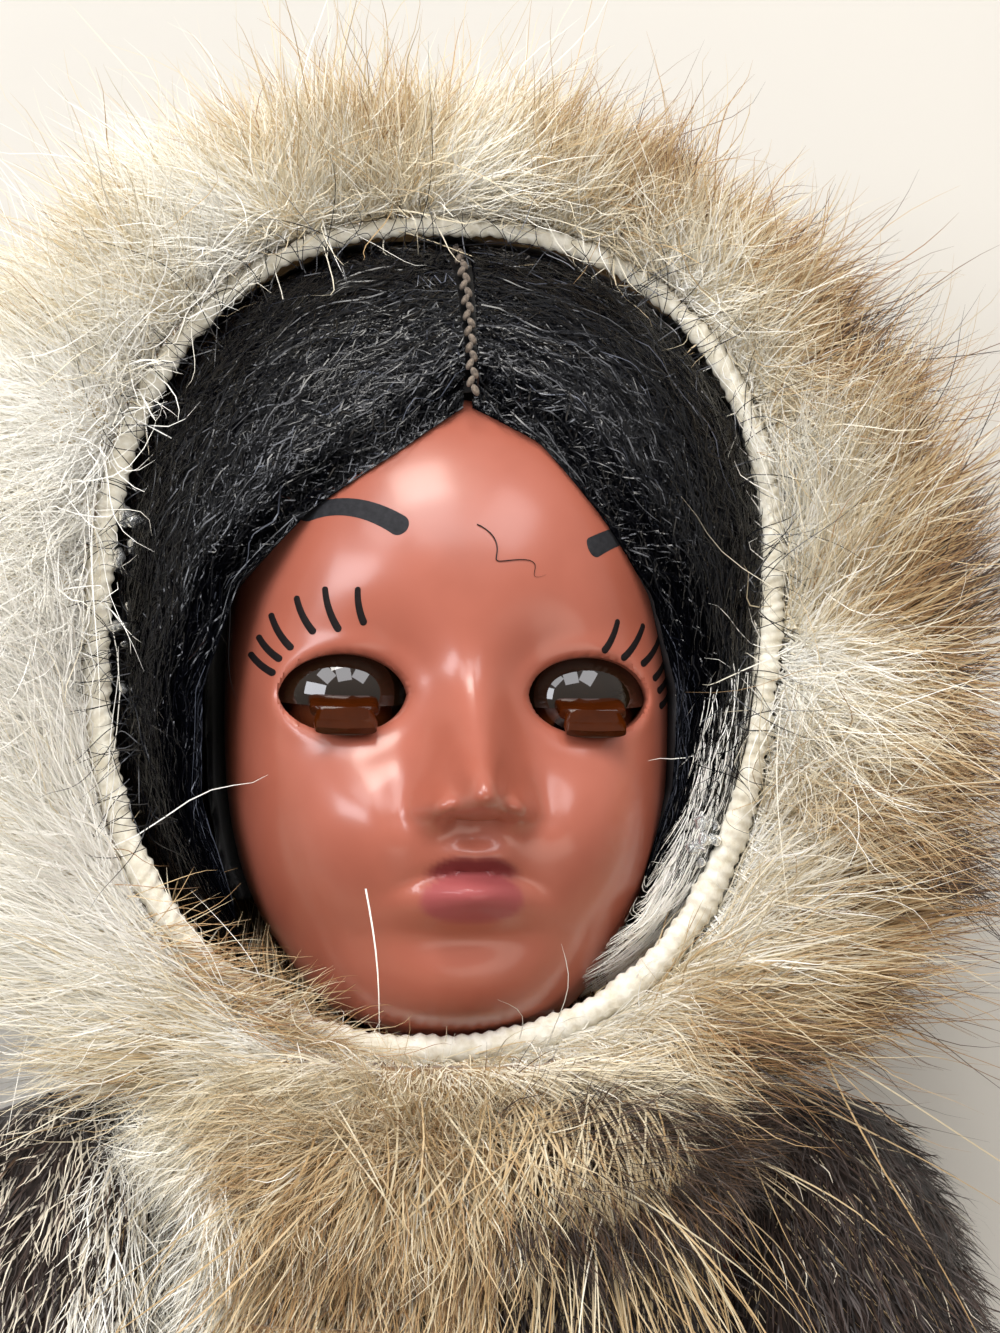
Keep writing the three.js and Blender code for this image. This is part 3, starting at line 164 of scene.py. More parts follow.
def linked(name: str, data: Any) -> Thing:
    """Makes an object and links it to the scene.

    Args:
        name: The object's name.
        data: Its mesh, lamp or camera.

    Returns:
        The new object.
    """
    made = bpy.data.objects.new(name, data)
    bpy.context.scene.collection.objects.link(made)
    return made


def places_of(mesh: bpy.types.Mesh) -> Array:
    """Reads a mesh's vertices.

    Args:
        mesh: The mesh.

    Returns:
        Their places in millimetres, as vertices by 3.
    """
    places = np.zeros(len(mesh.vertices) * 3)
    mesh.vertices.foreach_get("co", places)
    return places.reshape(-1, 3) / MM


def move_to(mesh: bpy.types.Mesh, places: Array) -> None:
    """Moves a mesh's vertices to places in millimetres."""
    mesh.vertices.foreach_set("co", (places * MM).ravel())


def mark(mesh: bpy.types.Mesh, name: str, values: Array) -> None:
    """Writes one value for each vertex under a name."""
    mesh.attributes.new(name, "FLOAT", "POINT").data.foreach_set("value", values.astype(np.float32))


def piece(name: str, points: Array, faces: Sequence[Sequence[int]]) -> Thing:
    """Makes a smooth mesh object.

    Args:
        name: The piece's name.
        points: Its vertices in millimetres.
        faces: The vertex numbers of each face.

    Returns:
        The new object, linked to the scene.
    """
    mesh = bpy.data.meshes.new(name)
    mesh.from_pydata((np.asarray(points) * MM).tolist(), [], [list(map(int, f)) for f in faces])
    mesh.shade_smooth()
    return linked(name, mesh)


def grid_faces(rows: int, columns: int, wrap: bool = False, start: int = 0) -> list[tuple[int, ...]]:
    """The faces of a grid of points written row by row.

    Args:
        rows: How many rows of points.
        columns: How many points in a row.
        wrap: Whether each row closes on itself.
        start: The number of the first point.

    Returns:
        One quad for each cell.
    """
    faces = []
    for r in range(rows - 1):
        for c in range(columns if wrap else columns - 1):
            d = (c + 1) % columns
            low, high = start + r * columns, start + (r + 1) * columns
            faces.append((low + c, low + d, high + d, high + c))
    return faces


def loft(name: str, rings: Array, closed_ends: bool = True) -> Thing:
    """A skin through closed rings of points.

    Args:
        name: The piece's name.
        rings: Points as rings by points by 3.
        closed_ends: Whether the first and last rings are filled, or meet each other.

    Returns:
        The new object.
    """
    count, size, _ = rings.shape
    faces = grid_faces(count, size, wrap=True)
    last = (count - 1) * size
    if closed_ends:
        faces += [tuple(range(size))[::-1], tuple(range(last, last + size))]
    else:
        faces += [(last + c, last + (c + 1) % size, (c + 1) % size, c) for c in range(size)]
    return piece(name, rings.reshape(-1, 3), faces)


def thick_sheet(name: str, top: Array, foot: Array, flip: bool = False) -> Thing:
    """A closed sheet between two grids of points.

    Args:
        name: The piece's name.
        top: One skin, as rows by columns by 3.
        foot: The other, point for point.
        flip: Whether its faces look the other way.

    Returns:
        The new object.
    """
    rows, columns = top.shape[:2]
    size = rows * columns
    faces = grid_faces(rows, columns) + [f[::-1] for f in grid_faces(rows, columns, start=size)]
    edge = list(range(columns)) + [r * columns + columns - 1 for r in range(1, rows)]
    edge += list(range(size - 2, size - columns - 1, -1)) + [r * columns for r in range(rows - 2, 0, -1)]
    faces += [(b, a, a + size, b + size) for a, b in zip(edge, edge[1:] + edge[:1])]
    if flip:
        faces = [f[::-1] for f in faces]
    return piece(name, np.concatenate([top.reshape(-1, 3), foot.reshape(-1, 3)]), faces)


def evaluated(source: Thing, name: str) -> Thing:
    """Applies an object's modifiers and puts the result in its place.

    Args:
        source: The object, which is removed.
        name: The name of what takes its place.

    Returns:
        The new object.
    """
    bpy.context.view_layer.update()
    graph = bpy.context.evaluated_depsgraph_get()
    mesh = bpy.data.meshes.new_from_object(source.evaluated_get(graph))
    bpy.data.objects.remove(source)
    mesh.name = name
    mesh.shade_smooth()
    return linked(name, mesh)


def dress(made: Thing, look: Material, body: Body, stands_for: Sequence[str] = ()) -> Thing:
    """Gives a piece its material, its body and the nodes that it stands for.

    Args:
        made: The piece.
        look: Its material.
        body: The body that it rides on.
        stands_for: The nodes that it replaces.

    Returns:
        The same piece.
    """
    made.data.materials.clear()
    made.data.materials.append(look)
    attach(made, body.value)
    if stands_for:
        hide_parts(*stands_for)
    LOG.info("%s on %s", made.name, body.value)
    return made


# Finishes


def add_node(
    tree: bpy.types.NodeTree, kind: str, inputs: Optional[dict[Any, Any]] = None, **settings: Any
) -> bpy.types.Node:
    """Adds a shader node.

    Args:
        tree: The material's node tree.
        kind: The node's type name without its common start.
        inputs: Each socket's name or number, with a value or the output that feeds it.
        **settings: Properties of the node.

    Returns:
        The new node.
    """
    made = tree.nodes.new("ShaderNode" + kind)
    for key, value in settings.items():
        setattr(made, key, value)
    for key, value in (inputs or {}).items():
        if isinstance(value, Socket):
            tree.links.new(value, made.inputs[key])
        else:
            made.inputs[key].default_value = value
    return made


def start_material(name: str, **sockets: Any) -> tuple[Material, bpy.types.NodeTree, bpy.types.Node]:
    """Starts a material with one Principled shader.

    Args:
        name: The material's name.
        **sockets: Values of the shader's sockets, with _ for a space.

    Returns:
        The material, its tree and its shader.
    """
    look = bpy.data.materials.new(name)
    look.use_nodes = True
    shader = look.node_tree.nodes["Principled BSDF"]
    for key, value in sockets.items():
        shader.inputs[key.replace("_", " ")].default_value = value
    return look, look.node_tree, shader


def noise(tree: bpy.types.NodeTree, size_mm: float, **inputs: float) -> Socket:
    """Adds noise of one real size.

    Args:
        tree: The node tree.
        size_mm: The size of its grain.
        **inputs: Values of its other sockets.

    Returns:
        The noise's value.
    """
    place = add_node(tree, "TexCoord").outputs["Object"]
    sockets = {"Vector": place, "Scale": 1 / (size_mm * MM), **inputs}
    return add_node(tree, "TexNoise", sockets).outputs["Fac"]


def mix(tree: bpy.types.NodeTree, share: Any, first: Any, second: Any, **settings: Any) -> Socket:
    """Adds a mix of two colours."""
    inputs = {"Fac": share, "Color1": first, "Color2": second}
    return add_node(tree, "MixRGB", inputs, **settings).outputs["Color"]


def roughen(
    tree: bpy.types.NodeTree, shader: bpy.types.Node, height: Socket, strength: float, relief_mm: float
) -> None:
    """Lets a height show in the light on a shader."""
    bump = add_node(tree, "Bump", {"Height": height, "Strength": strength, "Distance": relief_mm * MM})
    tree.links.new(bump.outputs["Normal"], shader.inputs["Normal"])


def ramp_colour(tree: bpy.types.NodeTree, value: Socket, stops: Sequence[tuple[float, str]]) -> Socket:
    """Adds a colour ramp.

    Args:
        tree: The node tree.
        value: What runs along the ramp.
        stops: Each colour's place and hex value, in order.

    Returns:
        The ramp's colour.
    """
    ramp = add_node(tree, "ValToRGB", {"Fac": value})
    elements = ramp.color_ramp.elements
    while len(elements) < len(stops):
        elements.new(1.0)
    for element, (place, hexa) in zip(elements, stops):
        element.position = place
        element.color = linear(hexa)
    return ramp.outputs["Color"]


@dataclass(frozen=True)
class HardPlastic:
    """Hard doll plastic from a polished mould: soft broad highlights, an even colour, faint flow marks."""

    name: str = "moulded_terracotta_plastic"
    colour: str = "#AE6350"
    shade: str = "#A35A47"
    lower_lip: str = "#A04A4A"
    upper_lip: str = "#6C191B"
    flow_mm: float = 7.0  # width of the flow marks
    grain_mm: float = 0.35  # faint orange peel
    roughness: float = 0.3
    lip_roughness: float = 0.75
    lips: bool = False
    ior: float = 1.5
    gloss: float = 0.3  # how much polish lies over it
    gloss_roughness: float = 0.16
    peel: float = 0.05  # how strongly the orange peel shows
    peel_mm: float = 0.05  # its depth

    def make(self) -> Material:
        """Makes the material.

        Returns:
            The finished material.
        """
        look, tree, shader = start_material(
            self.name,
            Roughness=self.roughness,
            IOR=self.ior,
            Coat_Weight=self.gloss,
            Coat_Roughness=self.gloss_roughness,
        )
        flow = noise(tree, self.flow_mm, Detail=3.0)
        colour = ramp_colour(tree, flow, [(0.3, self.shade), (0.62, self.colour)])
        if self.lips:
            paint = add_node(tree, "Attribute", attribute_name="lip_paint").outputs["Fac"]
            upper = add_node(tree, "Attribute", attribute_name="upper_lip").outputs["Fac"]
            lip = mix(tree, upper, linear(self.lower_lip), linear(self.upper_lip))
            colour = mix(tree, paint, colour, lip)
            spans = {"Value": paint, "To Min": self.roughness, "To Max": self.lip_roughness}
            matt = add_node(tree, "MapRange", spans)
            tree.links.new(matt.outputs["Result"], shader.inputs["Roughness"])
        tree.links.new(colour, shader.inputs["Base Color"])
        roughen(tree, shader, noise(tree, self.grain_mm, Detail=2.0), self.peel, self.peel_mm)
        return look


@dataclass(frozen=True)
class MottledFinish:
    """A material whose colour and height vary at one real size: paint, suede, hide, thread or rubber."""

    name: str
    light: str
    dark: str
    grain_mm: float
    roughness: float
    relief_mm: float = 0.05
    metallic: float = 0.0
    sheen: float = 0.0
    ior: float = 1.5
    show: float = 0.6  # how strongly the relief shows

    def make(self) -> Material:
        """Makes the material.

        Returns:
            The finished material.
        """
        look, tree, shader = start_material(
            self.name,
            Roughness=self.roughness,
            Metallic=self.metallic,
            Sheen_Weight=self.sheen,
            IOR=self.ior,
        )
        grain = noise(tree, self.grain_mm, Detail=5.0, Roughness=0.6)
        colour = ramp_colour(tree, grain, [(0.32, self.dark), (0.68, self.light)])
        tree.links.new(colour, shader.inputs["Base Color"])
        roughen(tree, shader, grain, self.show, self.relief_mm)
        return look


@dataclass(frozen=True)
class PolishedAcetate:
    """Polished amber acetate: a dark mirror where it is thick, honey brown where light gets through."""

    name: str
    colour: str
    clear: float
    haze_mm: float = 1.6  # size of the faint clouds in the colour
    roughness: float = 0.04
    gloss: float = 1.0  # how much polish lies over it
    gloss_roughness: float = 0.02
    ior: float = 1.5
    clouds: tuple[float, float] = (0.6, 1.3)  # the darkest and lightest cloud beside the colour

    def make(self) -> Material:
        """Makes the material.

        Returns:
            The finished material.
        """
        look, tree, shader = start_material(
            self.name,
            Roughness=self.roughness,
            IOR=self.ior,
            Transmission_Weight=self.clear,
            Coat_Weight=self.gloss,
            Coat_Roughness=self.gloss_roughness,
        )
        ramp = add_node(tree, "ValToRGB", {"Fac": noise(tree, self.haze_mm)})
        red, green, blue, _ = linear(self.colour)
        for element, share in zip(ramp.color_ramp.elements, self.clouds):
            element.color = (red * share, green * share, blue * share, 1)
        tree.links.new(ramp.outputs["Color"], shader.inputs["Base Color"])
        return look


@dataclass(frozen=True)
class PaintedEye:
    """A dark moulded eyeball with a painted iris: rings of colour round the pupil under a wet gloss."""

    name: str = "glossy_painted_eyeball"

    def make(self) -> Material:
        """Makes the material.

        Returns:
            The finished material.
        """
        look, tree, shader = start_material(
            self.name, Roughness=0.06, IOR=1.55, Coat_Weight=0.5, Coat_Roughness=0.02
        )
        ring = add_node(tree, "Attribute", attribute_name="from_pupil").outputs["Fac"]
        pupil = [(0.0, "#050303"), (0.12, "#0A0504")]
        iris = [(0.14, "#5A2C12"), (0.3, "#3A1B0B"), (0.36, "#120806")]
        colour = ramp_colour(tree, ring, pupil + iris + [(0.42, "#1C0F0A")])
        tree.links.new(colour, shader.inputs["Base Color"])
        return look


@dataclass(frozen=True)
class StrandFinish:
    """Hair or fur: its tone runs along a palette from strand to strand and from root to tip."""

    name: str
    palette: Sequence[tuple[float, str]]
    root: float = 0.8  # painted shade: how bright the root is beside the tip, darker as if shaded deep in the pile
    root_end: float = 0.45  # how far along the hair that painted shade reaches
    shift: float = 0.0  # how far the tone moves along the palette from root to tip
    roughness: float = 0.5
    sheen: float = 0.15
    ior: float = 1.5

    def make(self) -> Material:
        """Makes the material.

        Returns:
            The finished material.
        """
        look, tree, shader = start_material(
            self.name, Roughness=self.roughness, Sheen_Weight=self.sheen, IOR=self.ior
        )
        strand = add_node(tree, "UVMap", uv_map=STRAND_MAP).outputs["UV"]
        places = add_node(tree, "SeparateXYZ", {0: strand}).outputs
        run = {0: places["Y"], 1: self.shift, 2: places["X"]}
        tone = add_node(tree, "Math", run, operation="MULTIPLY_ADD").outputs["Value"]
        # Painted shade: the colour darkens towards each hair's root
        spans = {"Value": places["Y"], "From Max": self.root_end, "To Min": self.root, "To Max": 1.0}
        rise = add_node(tree, "MapRange", spans).outputs["Result"]
        shaded = mix(tree, 1.0, ramp_colour(tree, tone, self.palette), rise, blend_type="MULTIPLY")
        tree.links.new(shaded, shader.inputs["Base Color"])
        return look


@dataclass(frozen=True)
class ClearGlue:
    """Hot-melt glue, set in beads: clear and glossy with a soft skin."""

    name: str = "set_hot_melt_glue"

    def make(self) -> Material:
        """Makes the material."""
        return start_material(
            self.name, Base_Color=linear("#EEF0F0"), Roughness=0.05, IOR=1.48, Transmission_Weight=0.85
        )[0]


@dataclass(frozen=True)
class PaleFloor:
    """A plain matt paper sweep."""

    name: str = "matt_paper_sweep"
    colour: str = "#D2CEC6"

    def make(self) -> Material:
        """Makes the material."""
        return start_material(self.name, Base_Color=linear(self.colour), Roughness=0.9)[0]


class Finish:
    """Every material of the doll, made once."""

    def __init__(self) -> None:
        """Makes them all."""
        self.plastics()
        self.leathers()
        self.hardware()
        self.hairs()
        self.pelts()

    def plastics(self) -> None:
        """The moulded plastics and the paint on them."""
        # Moulded hard plastic: wide soft highlights on forehead, cheeks and chin, and matt painted lips
        self.skin = HardPlastic(lips=True).make()
        # The same plastic unpainted, a little duller where the clothes rub it
        self.limb = HardPlastic("moulded_limb_plastic", "#A9533F", "#964634", roughness=0.42).make()
        # Thin brushed paint: flat charcoal that the brush leaves uneven
        self.brow = MottledFinish("brushed_charcoal_paint", "#303033", "#222225", 0.5, 0.75, ior=1.3).make()
        # The same in black-brown, for fine strokes
        self.lash = MottledFinish("brushed_black_paint", "#1A1011", "#0E0809", 0.4, 0.75, ior=1.3).make()
        # Polished thick acetate: a near-black mirror of the window
        self.lid = PolishedAcetate("polished_dark_acetate", "#1C1107", 0.0, gloss=0.6).make()
        # The same where it is thin: light comes through it honey brown
        self.tab = PolishedAcetate(
            "polished_amber_acetate", "#481D04", 0.3, roughness=0.08, gloss=0.0, ior=1.3
        ).make()
        # A painted ball under gloss: rings of brown round a black pupil
        self.eye = PaintedEye().make()
        # Set glue: clear beads with bright points of light
        self.glue = ClearGlue().make()

    def leathers(self) -> None:
        """Hide, suede, sole leather and thread."""
        # Raw hide, rolled and pinched: chalky white with yellow creases
        self.hide = MottledFinish(
            "rolled_raw_hide", "#F3EFE2", "#D8CFB8", 0.9, 0.75, 0.25, sheen=0.1
        ).make()
        # Brushed suede: a soft nap, lighter where it is rubbed
        self.suede = MottledFinish(
            "brushed_suede", "#9A7752", "#7A5A3B", 1.1, 0.92, 0.12, sheen=0.35
        ).make()
        # Cut leather: dull and fibrous
        self.sole = MottledFinish("cut_sole_leather", "#6E4D31", "#4F3521", 0.8, 0.7, 0.1).make()
        # Waxed thread: dull grey-brown, its plies drawn coarser than they are
        self.thread = MottledFinish(
            "waxed_linen_thread", "#8A7B6C", "#4A4038", 0.25, 0.8, 0.05, sheen=0.2
        ).make()
        # Cotton net: flat black, its mesh drawn coarser than it is
        self.net = MottledFinish("woven_cotton_net", "#1E1E22", "#0C0C0E", 0.6, 0.9, 0.1, sheen=0.2).make()

    def hardware(self) -> None:
        """The metal and rubber inside."""
        # Drawn wire: long bright glints, faintly scratched
        self.steel = MottledFinish(
            "drawn_steel_wire", "#B8B9BD", "#8E9096", 0.4, 0.32, 0.02, metallic=1.0
        ).make()
        # Cast lead: dull grey with a cast skin
        self.lead = MottledFinish("cast_lead", "#7A7C80", "#5A5C60", 0.7, 0.6, 0.06, metallic=1.0).make()
        # Extruded rubber: matt and dusty
        self.rubber = MottledFinish("extruded_rubber", "#C2AD90", "#A48F72", 0.6, 0.8).make()

    def hairs(self) -> None:
        """The wig's hair and the furs' hair."""
        # Combed mohair: black with a cool shine where the strands turn, and odd grey hairs
        black = [(0.0, "#030306"), (0.6, "#08090F"), (0.9, "#11131A"), (1.0, "#5C606C")]
        self.hair = StrandFinish("combed_black_mohair", black, roughness=0.21, sheen=0.0, ior=1.48).make()
        # The mass under it, too deep for single hairs to show
        self.scalp = MottledFinish("packed_black_mohair", "#0E0E12", "#060608", 0.5, 0.5, 0.15).make()
        # Long fur: white by the skin, cream, then tan and brown towards the tips
        cream = [(0.0, "#FDFCF8"), (0.22, "#F5F1E4"), (0.42, "#DCCFB0"), (0.6, "#C0A477")]
        brown = [(0.78, "#9C7548"), (0.9, "#5E4430"), (1.0, "#30231C")]
        self.long_fur = StrandFinish("long_cream_fur", cream + brown, root=1.0, shift=0.14).make()
        # Short dark fur: brown-black plush with some white hairs
        pale = [(0.0, "#F0EADB"), (0.12, "#CDB48C"), (0.3, "#5E4330")]
        self.dark_fur = StrandFinish(
            "dark_brown_fur", pale + [(0.55, "#3C2A22"), (0.8, "#2C1F1A"), (1.0, "#1C1310")], root=0.6
        ).make()

    def pelts(self) -> None:
        """The skins that the furs grow on: matt, seen only between the hairs."""
        # Tanned skin under each fur, tinted by the hair above it
        pale, tan, dark = (
            MottledFinish(f"{word}_pelt_skin", light, shade, 2.0, 0.95, 0.4, sheen=0.2).make()
            for word, light, shade in (
                ("cream", "#F2EAD8", "#DCC9A2"),
                ("tan", "#A98C62", "#75593D"),
                ("dark", "#2A1D17", "#18100C"),
            )
        )
        self.pale_pelt = pale
        # The slot, skin and hair of each kind of fur
        self.dark_kind = ("dark_fur", dark, self.dark_fur)
        self.tan_kind = ("tan_fur", tan, self.long_fur)
        self.pale_kind = ("pale_fur", pale, self.long_fur)
        self.bib_kind = ("pale_fur", tan, self.long_fur)


# Hair and fur


@dataclass
class Strands:
    """A batch of hairs, each a flat ribbon that tapers to its tip.

    Attributes:
        name: The piece's name.
        lines: Hairs by points by 3, in millimetres.
        facing: The way each ribbon's flat side looks.
        width: Each ribbon's widest breadth.
        tone: Each hair's place on its palette, from 0 to 1.
        floor: The least height that a hair may sink to.
        tip: The breadth of the tip beside the widest.
        map_half: Half a hair's breadth on the strand map.
    """

    name: str
    lines: Array
    facing: Array
    width: Array
    tone: Array
    floor: float = 0.25
    tip: float = 0.12
    map_half: float = 0.004

    def build(self) -> Thing:
        """Builds the ribbons as one mesh.

        Returns:
            The new object, with its strand map.
        """
        lines = self.lines.copy()
        lines[..., 2] = np.maximum(lines[..., 2], self.floor)
        hairs, points, _ = lines.shape
        along = np.linspace(0, 1, points)
        side = unit(np.cross(np.gradient(lines, axis=1), self.facing[:, None, :]))
        taper = self.tip + (1 - self.tip) * (1 - along**2.4)
        half = self.width[:, None, None] / 2 * taper[None, :, None] * side
        verts = np.stack([lines - half, lines + half], axis=2).reshape(-1, 3) * MM
        first = (np.arange(hairs) * points * 2)[:, None] + (np.arange(points - 1) * 2)[None, :]
        quads = np.stack([first, first + 1, first + 3, first + 2], axis=-1).reshape(-1, 4)
        mesh = bpy.data.meshes.new(self.name)
        mesh.vertices.add(len(verts))
        mesh.vertices.foreach_set("co", verts.ravel())
        mesh.loops.add(quads.size)
        mesh.loops.foreach_set("vertex_index", quads.ravel().astype(np.int32))
        mesh.polygons.add(len(quads))
        mesh.polygons.foreach_set("loop_start", np.arange(0, quads.size, 4, dtype=np.int32))
        mesh.polygons.foreach_set("use_smooth", np.ones(len(quads), dtype=bool))
        mesh.update(calc_edges=True)
        tone = np.clip(self.tone, 0.01, 0.99)
        corners = (hairs, points - 1, 4)
        low, high = along[:-1], along[1:]
        u = np.broadcast_to(tone[:, None, None] + self.map_half * np.array([-1, 1, 1, -1]), corners)
        v = np.broadcast_to(np.stack([low, low, high, high], axis=-1)[None], corners)
        mesh.uv_layers.new(name=STRAND_MAP).data.foreach_set("uv", np.stack([u, v], axis=-1).ravel())
        return linked(self.name, mesh)

    def wear(self, look: Material, body: Body) -> None:
        """Builds the ribbons and dresses them."""
        dress(self.build(), look, body)


@dataclass(frozen=True)
class Pile:
    """How one kind of hair grows.

    Attributes:
        count: How many hairs.
        length: Their usual length.
        vary: The share of the length that differs from hair to hair.
        width: Their breadth.
        stray: How far a hair's own way differs from its neighbours'.
        curl: How far it waves aside.
        lock: How far the tips of a lock draw together, from 0 to 1.
        lock_size: How many hairs share a lock.
        droop: How far the tip falls, as a share of the length.
        points: Points along each hair.
    """

    count: int
    length: float
    vary: float = 0.3
    width: float = 0.16
    stray: float = 0.25
    curl: float = 0.35
    lock: float = 0.5
    lock_size: int = 22
    droop: float = 0.15
    points: int = 5

    def grow(self, roots: Array, ways: Array, rng: Draws, scale: Optional[Array] = None) -> Array:
        """Grows a hair from each root.

        Args:
            roots: Where the hairs start.
            ways: The way that each sets out.
            rng: The source of chance.
            scale: Each hair's length beside the usual one, where it differs by place.

        Returns:
            The hairs' middle lines, as hairs by points by 3.
        """
        count = len(roots)
        ways = unit(ways + rng.normal(0, self.stray, (count, 3)))
        length = self.length * (1 + self.vary * rng.uniform(-1, 0.6, count))
        if scale is not None:
            length = length * scale
        t = np.linspace(0, 1, self.points)
        reach = length[:, None, None] * t[None, :, None]
        lines = roots[:, None, :] + ways[:, None, :] * reach
        lines[..., 2] -= self.droop * length[:, None] * t[None, :] ** 2
        aside = unit(np.cross(ways, rng.normal(0, 1, (count, 3))))
        pitch, begin = rng.uniform(2.5, 6.0, count), rng.uniform(0, 6.28, count)
        wave = np.sin(t[None, :] * pitch[:, None] + begin[:, None])
        wave -= wave[:, :1]
        lines += aside[:, None, :] * (self.curl * wave * t[None, :])[..., None]
        leaders = rng.choice(count, max(count // self.lock_size, 1), replace=False)
        tree = KDTree(len(leaders))
        for number, leader in enumerate(leaders):
            tree.insert(roots[leader], int(number))
        tree.balance()
        owner = np.array([leaders[tree.find(root)[1]] for root in roots])
        draw = self.lock * rng.uniform(0.4, 1.0, count)[:, None] * t[None, :] ** 1.4
        return lines + draw[..., None] * (lines[owner] - lines)


def waves(rng: Draws, t: Array, count: int, least: float, most: float) -> Array:
    """Waves along hairs, each with its own pitch and start."""
    return np.sin(t * rng.uniform(least, most, (count, 1)) + rng.uniform(0, 2 * math.pi, (count, 1)))


def facing_up(count: int, spread: float, rng: Draws) -> Array:
    """Ways that look out of the face, each a little astray."""
    return unit(UP + rng.normal(0, spread, (count, 3)))


@dataclass
class Skin:
    """The surface of a made piece, sampled for roots."""

    source: Thing

    def sample(self, count: int, rng: Draws) -> tuple[Array, Array]:
        """Picks places evenly by area.

        Args:
            count: How many.
            rng: The source of chance.

        Returns:
            The places in millimetres, and the surface's outward way at each.
        """
        mesh = self.source.data
        mesh.calc_loop_triangles()
        size = len(mesh.loop_triangles)
        corners = np.zeros(size * 3, dtype=np.int32)
        mesh.loop_triangles.foreach_get("vertices", corners)
        a, b, c = places_of(mesh)[corners.reshape(-1, 3)].transpose(1, 0, 2)
        cross = np.cross(b - a, c - a)
        area = np.linalg.norm(cross, axis=1)
        pick = rng.choice(size, count, p=area / area.sum())
        u, v = rng.uniform(0, 1, (2, count))
        flip = u + v > 1
        u[flip], v[flip] = 1 - u[flip], 1 - v[flip]
        places = a[pick] + u[:, None] * (b - a)[pick] + v[:, None] * (c - a)[pick]
        return places, unit(cross[pick])


class Neighbours:
    """The frame's solids, for hairs to keep clear of."""

    def __init__(self, leave_out: Sequence[str]) -> None:
        """Gathers the solids.

        Args:
            leave_out: Nodes that don't count.
        """
        points: list[Vector] = []
        faces: list[list[int]] = []
        for name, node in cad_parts.items():
            if name not in leave_out:
                start = len(points)
                points += [v.co.copy() for v in node.data.vertices]
                faces += [[start + i for i in f.vertices] for f in node.data.polygons]
        self.tree = BVHTree.FromPolygons(points, faces)

    def clear(self, roots: Array, ways: Array, reach: float) -> Array:
        """Says which hairs have room to grow.

        Args:
            roots: Where the hairs start.
            ways: The way that each sets out.
            reach: How much room a hair needs.

        Returns:
            True for each hair that meets no other solid within reach.
        """
        limit = reach * MM
        return np.array(
            [
                self.tree.ray_cast(Vector(p * MM), Vector(w), limit)[0] is None
                for p, w in zip(roots, unit(ways))
            ]
        )

    def height(self, places: Array) -> Array:
        """The height of the topmost solid under places.

        Args:
            places: The places, along the last axis.

        Returns:
            The height at each, 0 where there is nothing.
        """
        down = Vector((0, 0, -1))
        starts = [Vector((x * MM, y * MM, ABOVE_ALL)) for x, y, _ in places.reshape(-1, 3)]
        hits = [self.tree.ray_cast(start, down)[0] for start in starts]
        return np.array([0.0 if hit is None else hit.z / MM for hit in hits]).reshape(places.shape[:-1])


@dataclass(frozen=True)
class Pelt:
    """A soft solid of the frame, rounded and drawn in by part of its pile, to grow fur on.

    Attributes:
        node: The frame's node.
        inset: How far the skin lies under the pile's outer shape.
        voxel: The size of its cells.
        rounds: How often it is smoothed.
    """

    node: str
    inset: float
    voxel: float = 0.9
    rounds: int = 6

    def build(self) -> Thing:
        """Builds the skin.

        Returns:
            The new object.
        """
        copy = linked(self.node + "_copy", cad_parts[self.node].data.copy())
        cells = copy.modifiers.new("cells", "REMESH")
        cells.mode = "VOXEL"
        cells.voxel_size = self.voxel * MM
        smooth = copy.modifiers.new("smooth", "SMOOTH")
        smooth.iterations = self.rounds
        if self.inset:
            draw_in = copy.modifiers.new("draw_in", "DISPLACE")
            draw_in.strength = -self.inset * MM
            draw_in.mid_level = 0
        made = evaluated(copy, self.node + "_skin")
        places = places_of(made.data)
        places[:, 2] = np.maximum(places[:, 2], 0.0)
        move_to(made.data, places)
        return made


Lay = Callable[[Array, Array], Array]
Tone = Callable[[Array, Draws], Array]


@dataclass(frozen=True)
class Brushed:
    """A lay of fur that leans one way, and bends forwards over edges that look the other way."""

    stand: float  # how far it stands off the skin
    lean: tuple[float, float, float]
    bend: float = 1.3

    def __call__(self, roots: Array, outward: Array) -> Array:
        """The way that each hair sets out."""
        against = np.maximum(-outward @ np.array(self.lean), 0)
        return self.stand * outward + np.array(self.lean) + np.outer(self.bend * against, UP)


@dataclass(frozen=True)
class Flecked:
    """A tone of fur that differs a little from hair to hair, with odd white hairs."""

    middle: float
    spread: float = 0.14
    white: float = 0.0  # share of white hairs

    def __call__(self, roots: Array, rng: Draws) -> Array:
        """Each root's place on the palette."""
        count = len(roots)
        tone = self.middle + rng.normal(0, self.spread, count)
        return np.where(rng.uniform(0, 1, count) < self.white, WHITE_TONE, tone)


@dataclass(frozen=True)
class Coat:
    """One kind of hair on a pelt.

    Attributes:
        pile: How it grows.
        lay: The way that it sets out.
        tone: Its place on the palette.
        area: Where it grows, if not all over.
        look: Its material, if not the piece's own.
    """

    pile: Pile
    lay: Lay
    tone: Tone
    area: Optional[Callable[[Array], Array]] = None
    look: Optional[Material] = None


